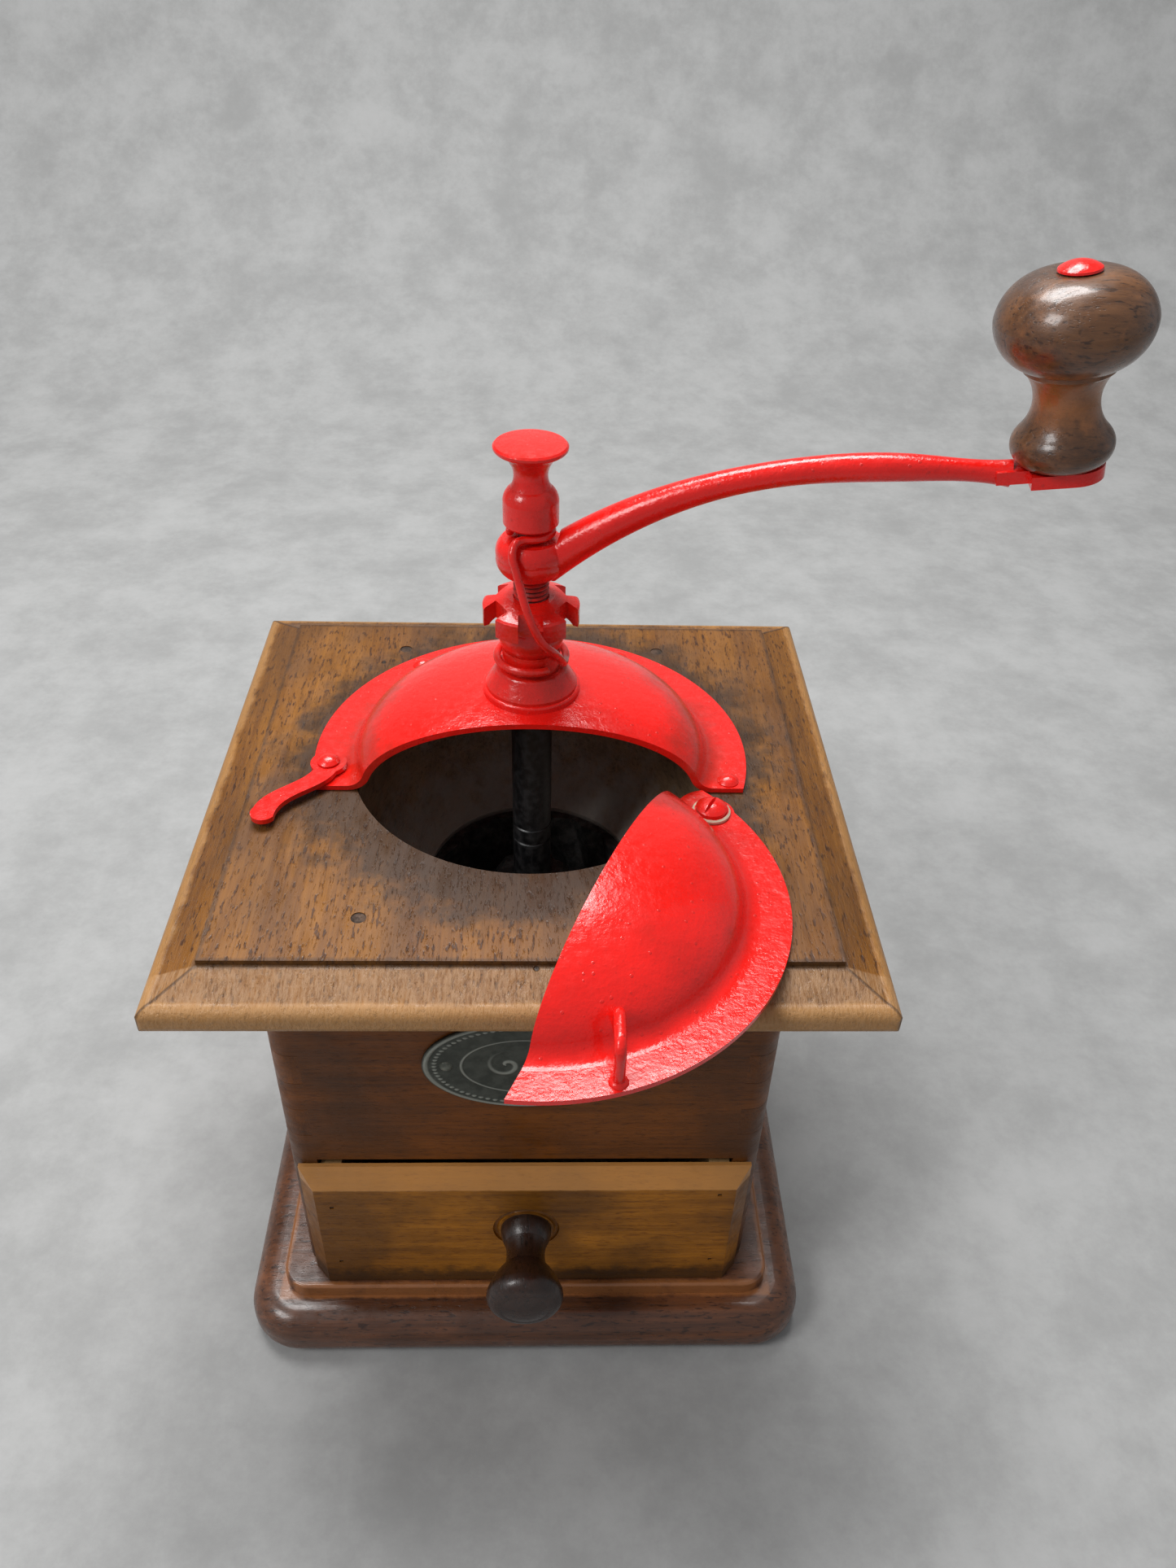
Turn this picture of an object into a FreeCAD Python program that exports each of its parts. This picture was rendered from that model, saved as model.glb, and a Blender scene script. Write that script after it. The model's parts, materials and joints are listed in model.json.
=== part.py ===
import FreeCAD, Part

import math
import os

from FreeCAD import Vector

# Antique box coffee mill with a swinging dome cover, a hand crank and a drawer.
# Millimetres. The origin is the centre of the base's underside, +X to the right as the drawer faces
# the viewer, -Y to the front (drawer side), +Z up. It rests with the cover swung open.

# ---- driving sizes: the wooden box ---------------------------------------------------------------
BASE_WIDTH = 146.0
BASE_DEPTH = 143.0
BASE_BEAD_HEIGHT = 13.4
BASE_HEIGHT = 17.6
BASE_STEP_INSET = 9.2
BASE_CORNER = 14.0
STEP_CORNER = 7.0
BASE_BEAD_RADIUS = 6.6
BASE_FOOT_RADIUS = 5.0
ARRIS = 0.8

CASE_WIDTH = 115.2
CASE_DEPTH = 110.4
CASE_HEIGHT = 113.0
WALL = 7.0
CASE_CORNER = 5.0
FRONT_FINGERS = 7
BACK_FINGERS = 11
FINGER_GAP = 0.1

TOP_WIDTH = 150.0
TOP_DEPTH = 148.5
TOP_THICKNESS = 10.8
TOP_BEVEL = 10.5
TOP_STEP = 1.2
TOP_NOSE = 3.0
TOP_CORNER = 1.6
TOP_NAIL_X = 34.0
TOP_NAIL_HEAD = 1.6
TOP_NAIL_SINK = 0.2

# ---- driving sizes: drawer -----------------------------------------------------------------------
DRAWER_OPENING = 45.6
DRAWER_FRONT_INSET = 2.4
DRAWER_FRONT_THICKNESS = 5.2
DRAWER_BEVEL = 4.2
DRAWER_TOP_GAP = 1.4
DRAWER_SIDE_GAP = 0.6
DRAWER_WALL = 5.0
DRAWER_FLOOR = 3.0
DRAWER_FLOOR_RISE = 2.0
DRAWER_RUN = 0.2
DRAWER_BACK_ROOM = 3.0
DRAWER_KNOB_LENGTH = 22.6
DRAWER_KNOB_RADIUS = 9.2
DRAWER_KNOB_Z = 41.5
DRAWER_TENON_RADIUS = 3.5

# ---- driving sizes: metal cover ------------------------------------------------------------------
AXIS_X = 0.7
AXIS_Y = 4.4
SHEET = 1.2
FLANGE_RADIUS = 51.6
DOME_RADIUS = 41.7
DOME_HEIGHT = 19.0
DOME_FILLET = 4.0
BACK_COVER_REACH = 14.3
COVER_GAP = 0.5
COVER_LIFT = 0.1
BOSS_SEAT = 1.0
MOUTH_RADIUS = 42.6
PIVOT_RADIUS = 47.2
PIVOT_ANGLE = -29.4
PIVOT_TAB = 8.3
PIVOT_WASHER = 4.35
COVER_OPEN_ANGLE = 66.0
LATCH_LENGTH = 22.0
LATCH_ANGLE = -122.0
LATCH_EYE = 4.2
LATCH_LIFT = 0.3
LATCH_THICKNESS = 1.2
SCREW_SHANK = 1.8
RIVET_SHANK = 1.6

# ---- driving sizes: spindle, crank and grinding set ----------------------------------------------
SPINDLE_RADIUS = 4.8
THREAD_RADIUS = 3.95
THREAD_PITCH = 1.1
THREAD_DEPTH = 0.5
SQUARE_DRIVE = 5.5
STUD_RADIUS = 2.6
LOWER_JOURNAL = 4.0
RUNNING_FIT = 0.05
BOSS_FOOT_RADIUS = 10.5
BOSS_CONE_HEIGHT = 5.0
BOSS_CONE_RADIUS = 8.3
BOSS_NECK_RADIUS = 6.6
BOSS_NECK_HEIGHT = 4.9
NUT_HEIGHT = 12.8
NUT_COLLAR_HEIGHT = 6.4
NUT_LOBE_RADIUS = 10.75
NUT_LOBE_HEIGHT = 4.6
NUT_LOBES = 6
NUT_NOTCH = 5.4
HUB_GAP = 5.4
HUB_HEIGHT = 8.5
HUB_RADIUS = 7.6
WIRE_RADIUS = 0.9
WIRE_PLAY = 0.7
CRANK_ANGLE = -8.0
CRANK_RISE = 30.3
CRANK_CURVE = 2.8
CRANK_REACH = 94.8
CRANK_ROOT_RADIUS = 4.6
CRANK_END_RADIUS = 2.7
TAB_LENGTH = 17.5
TAB_WIDTH = 12.6
TAB_THICKNESS = 2.6
TAB_TILT = 9.0
HANDLE_SETBACK = 9.1
HANDLE_HEIGHT = 35.3
HANDLE_RADIUS = 14.2
HANDLE_FOOT_RADIUS = 9.6
HANDLE_NECK_RADIUS = 6.1
HANDLE_PIN_RADIUS = 2.6
HANDLE_PLAY = 0.3
BURR_TOP = 103.5
BURR_HEIGHT = 20.0
INNER_BURR_TOP_RADIUS = 9.0
INNER_BURR_FOOT_RADIUS = 19.2
BURR_TOOTH = 1.6
INNER_BURR_TEETH = 9
OUTER_BURR_TEETH = 14
GRIND_GAP = 0.7
OUTER_BURR_WALL = 5.0
BURR_FLANGE = 7.0
BURR_FLANGE_THICKNESS = 4.0
BRIDGE_DROP = 12.0
BRIDGE_WIDTH = 12.0
BRIDGE_THICKNESS = 3.0

# ---- sizes worked out from them ------------------------------------------------------------------
CASE_TOP = BASE_HEIGHT + CASE_HEIGHT
FIELD = CASE_TOP + TOP_THICKNESS
FRONT_FACE = -CASE_DEPTH / 2
DRAWER_TOP = BASE_HEIGHT + DRAWER_OPENING
FLANGE_TOP = FIELD + SHEET
DOME_TOP = FLANGE_TOP + DOME_HEIGHT
BOSS_FOOT = DOME_TOP + BOSS_SEAT
BOSS_TOP = BOSS_FOOT + BOSS_CONE_HEIGHT + BOSS_NECK_HEIGHT
NUT_FOOT = BOSS_TOP + 0.1
NUT_TOP = NUT_FOOT + NUT_HEIGHT
HUB_FOOT = NUT_TOP + HUB_GAP
HUB_TOP = HUB_FOOT + HUB_HEIGHT
WIRE_EYE_Z = HUB_TOP + WIRE_PLAY + WIRE_RADIUS
KNOB_NUT_FOOT = HUB_TOP + 2 * (WIRE_PLAY + WIRE_RADIUS)
CRANK_TOP = HUB_FOOT + 4.3 + CRANK_RISE * (1 - 5.0 / CRANK_REACH) ** CRANK_CURVE
BURR_FOOT = BURR_TOP - BURR_HEIGHT
BLOCK_FOOT = BURR_FOOT + BURR_FLANGE_THICKNESS
BRIDGE_TOP = BURR_FOOT - BRIDGE_DROP
OUTER_BURR_RADIUS = INNER_BURR_FOOT_RADIUS + GRIND_GAP + BURR_TOOTH + OUTER_BURR_WALL
BRIDGE_REACH = OUTER_BURR_RADIUS + BURR_FLANGE + 9.5
PIVOT_X = AXIS_X + PIVOT_RADIUS * math.cos(math.radians(PIVOT_ANGLE))
PIVOT_Y = AXIS_Y + PIVOT_RADIUS * math.sin(math.radians(PIVOT_ANGLE))
LATCH_RADIUS = (FLANGE_RADIUS + DOME_RADIUS + DOME_FILLET) / 2 - 0.6

UP = Vector(0, 0, 1)
AXIS = Vector(AXIS_X, AXIS_Y, 0)
PIVOT = Vector(PIVOT_X, PIVOT_Y, 0)
BIG = 400.0


# ---- helpers -------------------------------------------------------------------------------------
def box(low, high):
    """A block between two corners."""
    return Part.makeBox(high[0] - low[0], high[1] - low[1], high[2] - low[2], Vector(*low))


def rod(radius, low, high, at=Vector(0, 0, 0)):
    """An upright cylinder from one height to another."""
    return Part.makeCylinder(radius, high - low, at + Vector(0, 0, low))


def turned(start, *steps):
    """A solid of revolution about Z. Each step is a point (r, z), or a pair of points for an arc."""
    edges = []
    here = Vector(start[0], 0, start[1])
    first = here
    for step in steps:
        if isinstance(step[0], tuple):
            middle = Vector(step[0][0], 0, step[0][1])
            there = Vector(step[1][0], 0, step[1][1])
            edges.append(Part.Arc(here, middle, there).toShape())
        else:
            there = Vector(step[0], 0, step[1])
            edges.append(Part.makeLine(here, there))
        here = there
    edges.append(Part.makeLine(here, first))
    face = Part.Face(Part.Wire(edges))
    return face.revolve(Vector(0, 0, 0), UP, 360)


def cap(radius, z, rise):
    """The arc of a low dome on the Z axis, from its rim at (radius, z) to its crown."""
    ball = (radius * radius + rise * rise) / (2 * rise)
    half = math.asin(radius / ball) / 2
    return ((ball * math.sin(half), z + rise - ball * (1 - math.cos(half))), (0, z + rise))


def moved(shape, offset):
    """A copy of the shape, shifted."""
    copy = shape.copy()
    copy.translate(offset)
    return copy


def spun(shape, angle, centre=Vector(0, 0, 0), axis=UP):
    """A copy of the shape, turned by an angle in degrees about an axis through a point."""
    copy = shape.copy()
    copy.rotate(centre, axis, angle)
    return copy


def on_axis(shape):
    """The shape carried from the Z axis to the mill's spindle axis."""
    return moved(shape, AXIS)


def polar(radius, angle, centre=AXIS, z=0.0):
    """A point at a radius and an angle in degrees about an upright axis."""
    turn = math.radians(angle)
    return centre + Vector(radius * math.cos(turn), radius * math.sin(turn), z)


def edges_where(shape, test):
    """The edges whose bounding box passes a test."""
    return [edge for edge in shape.Edges if test(edge.BoundBox)]


def upright_edges(shape):
    """The edges that run straight up."""
    return edges_where(shape, lambda b: b.ZLength > 1 and b.XLength < 0.01 and b.YLength < 0.01)


def level_edges(shape, z):
    """The edges that lie at one height."""
    return edges_where(shape, lambda b: abs(b.ZMin - z) < 0.01 and abs(b.ZMax - z) < 0.01)


def slab(width, depth, low, high, corner):
    """A centred block with rounded upright corners."""
    block = box((-width / 2, -depth / 2, low), (width / 2, depth / 2, high))
    return block.makeFillet(corner, upright_edges(block))


def slotted_head(radius, rise, slot):
    """A low domed screw head with one slot, standing on z = 0."""
    head = turned((0, 0), (radius, 0), (radius, 0.35 * rise), cap(radius, 0.35 * rise, 0.65 * rise))
    cutter = box((-radius, -slot / 2, 0.45 * rise), (radius, slot / 2, rise + 1))
    return head.cut(cutter)


def wood_nail(head_radius, length):
    """A nail standing head up, with the top of its head at z = 0."""
    return turned((0, 0), (head_radius, 0), (head_radius, -0.9), (0.9, -1.3), (0.9, -length + 2), (0, -length))


# ---- fasteners, made first so that the wood is cut to them ---------------------------------------
def base_screws():
    """Four countersunk screws, up through the base into the side walls of the case."""
    screws = []
    for x in (-1, 1):
        for y in (-1, 1):
            place = Vector(x * (CASE_WIDTH - WALL) / 2, y * CASE_DEPTH / 4, 0)
            tip = BASE_HEIGHT + 12
            screw = turned((0, 1.2), (3.6, 1.2), (1.7, 3.6), (1.7, tip - 4), (0, tip))
            screws.append(moved(screw, place))
    return Part.makeCompound(screws)


def top_nails():
    """Four nails, down through the top board into the front and back of the case."""
    nails = []
    for x in (-1, 1):
        for y in (-1, 1):
            place = Vector(x * TOP_NAIL_X, y * (CASE_DEPTH - WALL) / 2, FIELD - TOP_NAIL_SINK)
            nails.append(moved(wood_nail(TOP_NAIL_HEAD, TOP_THICKNESS + 12), place))
    return Part.makeCompound(nails)


def cover_rivets():
    """Three round-headed pins that hold the back cover's flange to the top board."""
    pins = []
    for angle in (-BACK_COVER_REACH + 0.4, 62.0, 128.0):
        pin = turned(
            (0, -9), (RIVET_SHANK, -7.5), (RIVET_SHANK, 0), (2.5, 0), (2.5, 0.3), cap(2.5, 0.3, 1.2),
        )
        pins.append(moved(pin, polar(LATCH_RADIUS - 0.4, angle, z=FLANGE_TOP + COVER_LIFT)))
    return Part.makeCompound(pins)


def latch_pivot_place():
    """Where the latch's rivet stands on the back cover."""
    return polar(LATCH_RADIUS, 188.5, z=FLANGE_TOP + COVER_LIFT)


def latch_rivet():
    """The rivet that the latch turns on, with a small washer under its head."""
    low = LATCH_LIFT + LATCH_THICKNESS + 0.2
    rivet = turned(
        (0, -9), (RIVET_SHANK, -7.5), (RIVET_SHANK, low), (2.6, low), (2.6, low + 0.3),
        cap(2.6, low + 0.3, 1.2),
    )
    return moved(rivet, latch_pivot_place())


def cover_pivot_screw():
    """The slotted wood screw that the front cover turns on."""
    top = FIELD + COVER_LIFT + SHEET + 1.0
    shank = moved(turned((0, -12), (SCREW_SHANK, -9), (SCREW_SHANK, 0), (0, 0)), Vector(0, 0, top))
    head = moved(spun(slotted_head(3.6, 2.2, 0.8), 60), Vector(0, 0, top))
    return moved(shank.fuse(head), PIVOT)


def cover_pivot_washer():
    """The washer between the pivot screw's head and the front cover."""
    low = FIELD + COVER_LIFT + SHEET + 0.1
    high = FIELD + COVER_LIFT + SHEET + 1.0
    rim = PIVOT_WASHER
    ring = turned((SCREW_SHANK, low), (rim, low), (rim, high - 0.3), (rim - 0.4, high), (SCREW_SHANK, high))
    return moved(ring, PIVOT)


def burr_screws():
    """Three screws, up through the outer burr's flange into the hopper block."""
    screws = []
    for angle in (90.0, 210.0, 330.0):
        head = spun(slotted_head(3.2, 2.0, 0.8), 180, axis=Vector(1, 0, 0))
        shank = turned((0, 0), (1.6, 0), (1.6, 14), (0, 17))
        place = polar(OUTER_BURR_RADIUS + BURR_FLANGE / 2, angle, z=BURR_FOOT)
        screws.append(moved(shank.fuse(head), place))
    return Part.makeCompound(screws)


def bridge_screws():
    """Two screws, up through the bridge's feet into the hopper block."""
    screws = []
    for side in (0.0, 180.0):
        head = spun(slotted_head(3.4, 2.0, 0.8), 180, axis=Vector(1, 0, 0))
        shank = turned((0, 0), (1.7, 0), (1.7, 14), (0, 17))
        place = polar(BRIDGE_REACH, side, z=BLOCK_FOOT - BRIDGE_THICKNESS)
        screws.append(moved(shank.fuse(head), place))
    return Part.makeCompound(screws)


# ---- the wooden box ------------------------------------------------------------------------------
def base_plinth():
    """The base: a thick board with a rounded edge, and a low step that the case stands on."""
    lower = slab(BASE_WIDTH, BASE_DEPTH, 0, BASE_BEAD_HEIGHT, BASE_CORNER)
    lower = lower.makeFillet(BASE_BEAD_RADIUS, level_edges(lower, BASE_BEAD_HEIGHT))
    lower = lower.makeFillet(BASE_FOOT_RADIUS, level_edges(lower, 0))
    inset = 2 * BASE_STEP_INSET
    step = slab(BASE_WIDTH - inset, BASE_DEPTH - inset, BASE_BEAD_HEIGHT - 1, BASE_HEIGHT, STEP_CORNER)
    step = step.makeFillet(ARRIS, level_edges(step, BASE_HEIGHT))
    places = [Vector(screw.CenterOfMass.x, screw.CenterOfMass.y, 0) for screw in base_screws().Solids]
    sinks = Part.makeCompound([rod(3.6, -1, 1.2, place) for place in places])
    return lower.fuse(step).removeSplitter().cut(base_screws()).cut(sinks)


def case_ring():
    """All four walls of the case as one ring, with rounded outer corners."""
    outer = slab(CASE_WIDTH, CASE_DEPTH, BASE_HEIGHT, CASE_TOP, CASE_CORNER)
    inner = box(
        (-CASE_WIDTH / 2 + WALL, -CASE_DEPTH / 2 + WALL, BASE_HEIGHT - 1),
        (CASE_WIDTH / 2 - WALL, CASE_DEPTH / 2 - WALL, CASE_TOP + 1),
    )
    return outer.cut(inner)


def fingers(count, low, high, y_low, y_high, gap):
    """Every second finger of a comb joint, at both ends of a front or back board."""
    pitch = (high - low) / count
    blocks = []
    for i in range(0, count, 2):
        for side in (-1, 1):
            inner = side * (CASE_WIDTH / 2 - WALL)
            outer = side * (CASE_WIDTH / 2 + 1)
            x_low, x_high = sorted((inner, outer))
            bottom = low + i * pitch + (gap if i else 0)
            top = low + (i + 1) * pitch - (gap if i + 1 < count else 0)
            blocks.append(box((x_low, y_low, bottom), (x_high, y_high, top)))
    return blocks


def cross_board(low, count, y_low, y_high, gap):
    """The space that a front or back board fills: its middle and its fingers."""
    middle = box((-CASE_WIDTH / 2 + WALL, y_low, low), (CASE_WIDTH / 2 - WALL, y_high, CASE_TOP))
    return middle.multiFuse(fingers(count, low, CASE_TOP, y_low, y_high, gap))


def case_front():
    """The front board, above the drawer, comb-jointed into the side boards."""
    space = cross_board(DRAWER_TOP, FRONT_FINGERS, FRONT_FACE - 1, FRONT_FACE + WALL, FINGER_GAP)
    return case_ring().common(space).cut(top_nails()).cut(name_plate_nails())


def case_back():
    """The full-height back board, comb-jointed into the side boards."""
    space = cross_board(BASE_HEIGHT, BACK_FINGERS, CASE_DEPTH / 2 - WALL, CASE_DEPTH / 2 + 1, FINGER_GAP)
    return case_ring().common(space).cut(top_nails())


def case_side(side):
    """A full-height side board: the ring's side, less the fingers of the front and back boards."""
    x_low, x_high = sorted((side * (CASE_WIDTH / 2 - WALL), side * (CASE_WIDTH / 2 + 1)))
    half = box((x_low, -CASE_DEPTH, BASE_HEIGHT), (x_high, CASE_DEPTH, CASE_TOP))
    front = cross_board(DRAWER_TOP, FRONT_FINGERS, FRONT_FACE - 1, FRONT_FACE + WALL, 0)
    back = cross_board(BASE_HEIGHT, BACK_FINGERS, CASE_DEPTH / 2 - WALL, CASE_DEPTH / 2 + 1, 0)
    return case_ring().common(half).cut(front).cut(back).cut(base_screws())


def bowl_space():
    """The bowl that is turned in the top board and in the block under it."""
    throat = OUTER_BURR_RADIUS
    bend = (0.93 * MOUTH_RADIUS, FIELD - 0.55 * (FIELD - BURR_TOP))
    bowl = turned(
        (0, BLOCK_FOOT - 1), (throat, BLOCK_FOOT - 1), (throat, BURR_TOP), (bend, (MOUTH_RADIUS, FIELD)),
        (MOUTH_RADIUS, FIELD + 1), (0, FIELD + 1),
    )
    return on_axis(bowl)


def top_moulding(half, along_x, length):
    """A long bar whose section is the top board with its two moulded edges."""
    inner = half - TOP_BEVEL
    points = [
        (-inner, FIELD), (-inner, FIELD - TOP_STEP), (-half + TOP_NOSE, FIELD - 0.36 * TOP_THICKNESS),
    ]
    nose = [(-half + 0.25 * TOP_NOSE, FIELD - 0.44 * TOP_THICKNESS), (-half, FIELD - 0.62 * TOP_THICKNESS)]
    foot = [(-half + 0.3 * TOP_NOSE, CASE_TOP + 0.35 * TOP_NOSE), (-half + TOP_NOSE, CASE_TOP)]

    def place(point, mirror=1):
        u, z = mirror * point[0], point[1]
        return Vector(u, -length / 2, z) if along_x else Vector(-length / 2, u, z)

    def side(mirror):
        path = [place(p, mirror) for p in points]
        edges = [Part.makeLine(a, b) for a, b in zip(path, path[1:])]
        edges.append(Part.Arc(path[-1], place(nose[0], mirror), place(nose[1], mirror)).toShape())
        edges.append(Part.Arc(place(nose[1], mirror), place(foot[0], mirror), place(foot[1], mirror)).toShape())
        return edges

    edges = side(1) + side(-1)
    edges.append(Part.makeLine(place(points[0]), place(points[0], -1)))
    edges.append(Part.makeLine(place(foot[1]), place(foot[1], -1)))
    face = Part.Face(Part.Wire(Part.__sortEdges__(edges)))
    run = Vector(0, length, 0) if along_x else Vector(length, 0, 0)
    return face.extrude(run)


def top_board():
    """The top board: a raised flat field, a bevel and a round nose, with the mouth of the hopper."""
    across = top_moulding(TOP_WIDTH / 2, True, TOP_DEPTH + 20)
    along = top_moulding(TOP_DEPTH / 2, False, TOP_WIDTH + 20)
    outline = slab(TOP_WIDTH, TOP_DEPTH, CASE_TOP - 1, FIELD + 1, TOP_CORNER)
    board = across.common(along).common(outline).cut(bowl_space())
    for cutter in (top_nails(), nail_pockets(), cover_rivets(), latch_rivet(), cover_pivot_screw()):
        board = board.cut(cutter)
    return board


def nail_pockets():
    """The shallow pockets over the sunk heads of the top board's nails."""
    low = FIELD - TOP_NAIL_SINK
    places = [Vector(nail.CenterOfMass.x, nail.CenterOfMass.y, 0) for nail in top_nails().Solids]
    return Part.makeCompound([rod(TOP_NAIL_HEAD, low, FIELD + 1, place) for place in places])


def hopper_block():
    """The glued-up block under the top board, with the lower part of the bowl turned in it."""
    block = box(
        (-CASE_WIDTH / 2 + WALL + 0.2, -CASE_DEPTH / 2 + WALL + 0.2, BLOCK_FOOT),
        (CASE_WIDTH / 2 - WALL - 0.2, CASE_DEPTH / 2 - WALL - 0.2, CASE_TOP),
    )
    block = block.cut(bowl_space()).cut(top_nails())
    return block.cut(burr_screws()).cut(bridge_screws())


def drawer_guides():
    """Two strips above the drawer's sides that stop it from tipping as it is drawn out."""
    strips = []
    for side in (-1, 1):
        x_low, x_high = sorted((side * (CASE_WIDTH / 2 - WALL), side * (CASE_WIDTH / 2 - WALL - 6)))
        low = (x_low, -CASE_DEPTH / 2 + WALL, DRAWER_TOP + 0.4)
        strips.append(box(low, (x_high, CASE_DEPTH / 2 - WALL, DRAWER_TOP + 5.4)))
    return Part.makeCompound(strips)


# ---- name plate ----------------------------------------------------------------------------------
PLATE_HALF_WIDTH = 23.2
PLATE_HALF_HEIGHT = 14.4
PLATE_THICKNESS = 0.8
PLATE_Z = CASE_TOP - 31.4
PLATE_NAIL_X = 17.8


def oval_plate(half_width, half_height, thickness):
    """A flat oval that stands upright with its back on the front board."""
    curve = Part.Ellipse(Vector(half_width, 0, 0), Vector(0, 0, half_height), Vector(0, 0, 0))
    plate = Part.Face(Part.Wire(curve.toShape())).extrude(Vector(0, -thickness, 0))
    return moved(plate, Vector(0, FRONT_FACE, PLATE_Z))


def name_plate_nails():
    """Two small round-headed pins through the ends of the plate."""
    pins = []
    for side in (-1, 1):
        pin = turned(
            (0, -5), (0.6, -4), (0.6, PLATE_THICKNESS), (1.5, PLATE_THICKNESS), cap(1.5, PLATE_THICKNESS, 0.8),
        )
        pin = spun(pin, 90, axis=Vector(1, 0, 0))
        pins.append(moved(pin, Vector(side * PLATE_NAIL_X, FRONT_FACE, PLATE_Z)))
    return Part.makeCompound(pins)


def name_plate():
    """A thin oval metal plate with a raised rim and a plain raised oval in the middle."""
    plate = oval_plate(PLATE_HALF_WIDTH, PLATE_HALF_HEIGHT, PLATE_THICKNESS)
    rim = oval_plate(PLATE_HALF_WIDTH, PLATE_HALF_HEIGHT, PLATE_THICKNESS + 0.3)
    rim = rim.cut(oval_plate(PLATE_HALF_WIDTH - 0.9, PLATE_HALF_HEIGHT - 0.9, PLATE_THICKNESS + 1))
    badge = oval_plate(6.5, 4.6, PLATE_THICKNESS + 0.3).cut(oval_plate(5.9, 4.0, PLATE_THICKNESS + 1))
    return plate.multiFuse([rim, badge]).cut(name_plate_nails())


# ---- drawer --------------------------------------------------------------------------------------
DRAWER_FRONT_WIDTH = CASE_WIDTH - 2 * DRAWER_FRONT_INSET
DRAWER_WIDTH = CASE_WIDTH - 2 * WALL - 2 * DRAWER_SIDE_GAP
DRAWER_LOW = BASE_HEIGHT + DRAWER_RUN
DRAWER_HIGH = DRAWER_TOP - DRAWER_TOP_GAP
DRAWER_BACK = CASE_DEPTH / 2 - WALL - DRAWER_BACK_ROOM
DRAWER_FACE_BACK = FRONT_FACE - 0.1


def drawer_nails():
    """Small pins through the front board into the ends of the drawer's sides."""
    pins = []
    reach = DRAWER_FACE_BACK - DRAWER_FRONT_THICKNESS
    upper = ((-1, DRAWER_HIGH - 11.0), (1, DRAWER_HIGH - 6.2))
    lower = ((-1, DRAWER_LOW + 9), (1, DRAWER_LOW + 9))
    for side, z in upper + lower:
        pin = turned((0, -18), (0.6, -16), (0.6, -0.5), (0.9, -0.5), (0.9, -0.3), (0, -0.3))
        pin = spun(pin, 90, axis=Vector(1, 0, 0))
        place = Vector(side * (DRAWER_WIDTH / 2 - DRAWER_WALL / 2), reach, z)
        pins.append(moved(pin, place))
    return Part.makeCompound(pins)


def pin_pockets():
    """The holes over the sunk heads of the drawer's pins."""
    reach = DRAWER_FACE_BACK - DRAWER_FRONT_THICKNESS
    return Part.makeCompound([
        box((p.CenterOfMass.x - 0.5, reach - 1, p.CenterOfMass.z - 0.5),
            (p.CenterOfMass.x + 0.5, reach + 0.3, p.CenterOfMass.z + 0.5)) for p in drawer_nails().Solids
    ])


def drawer_front():
    """The thick front board, bevelled at its top and sides, with a dished ring round the knob."""
    half = DRAWER_FRONT_WIDTH / 2
    back = DRAWER_FACE_BACK
    face = back - DRAWER_FRONT_THICKNESS
    edge = face + DRAWER_BEVEL
    board = box((-half, face, DRAWER_LOW), (half, back, DRAWER_HIGH))
    for side in (-1, 1):
        corner = [
            Vector(side * (half - DRAWER_BEVEL + 0.4), face, 0), Vector(side * (half + 1), face - 1, 0),
            Vector(side * (half + 1), edge, 0), Vector(side * half, edge, 0),
        ]
        wedge = Part.Face(Part.makePolygon(corner + corner[:1])).extrude(Vector(0, 0, BIG))
        board = board.cut(wedge)
    corner = [
        Vector(-BIG, face, DRAWER_HIGH - DRAWER_BEVEL + 0.4), Vector(-BIG, face - 1, DRAWER_HIGH + 1),
        Vector(-BIG, edge, DRAWER_HIGH + 1), Vector(-BIG, edge, DRAWER_HIGH),
    ]
    wedge = Part.Face(Part.makePolygon(corner + corner[:1])).extrude(Vector(2 * BIG, 0, 0))
    ring = turned((6.9, -1), (8.3, -1), (8.3, 0.1), ((7.6, 0.9), (6.9, 0.4)))
    ring = moved(spun(ring, -90, axis=Vector(1, 0, 0)), Vector(0, face, DRAWER_KNOB_Z))
    tenon = spun(rod(DRAWER_TENON_RADIUS, -1, DRAWER_FRONT_THICKNESS + 1), -90, axis=Vector(1, 0, 0))
    board = board.cut(wedge).cut(ring).cut(moved(tenon, Vector(0, face, DRAWER_KNOB_Z)))
    return board.cut(drawer_nails()).cut(pin_pockets())


def drawer_side(side):
    """A side of the drawer box."""
    outer = side * DRAWER_WIDTH / 2
    x_low, x_high = sorted((outer, outer - side * DRAWER_WALL))
    board = box((x_low, DRAWER_FACE_BACK, DRAWER_LOW), (x_high, DRAWER_BACK, DRAWER_HIGH - 1))
    return board.cut(drawer_floor()).cut(drawer_nails())


def drawer_rear():
    """The back of the drawer box, between its sides."""
    half = DRAWER_WIDTH / 2 - DRAWER_WALL
    board = box((-half, DRAWER_BACK - DRAWER_WALL, DRAWER_LOW), (half, DRAWER_BACK, DRAWER_HIGH - 3))
    return board.cut(drawer_floor())


def drawer_floor():
    """The thin floor, let into grooves in the sides and back."""
    half = DRAWER_WIDTH / 2 - DRAWER_WALL / 2
    low = DRAWER_LOW + DRAWER_FLOOR_RISE
    return box((-half, DRAWER_FACE_BACK, low), (half, DRAWER_BACK - DRAWER_WALL / 2, low + DRAWER_FLOOR))


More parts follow.
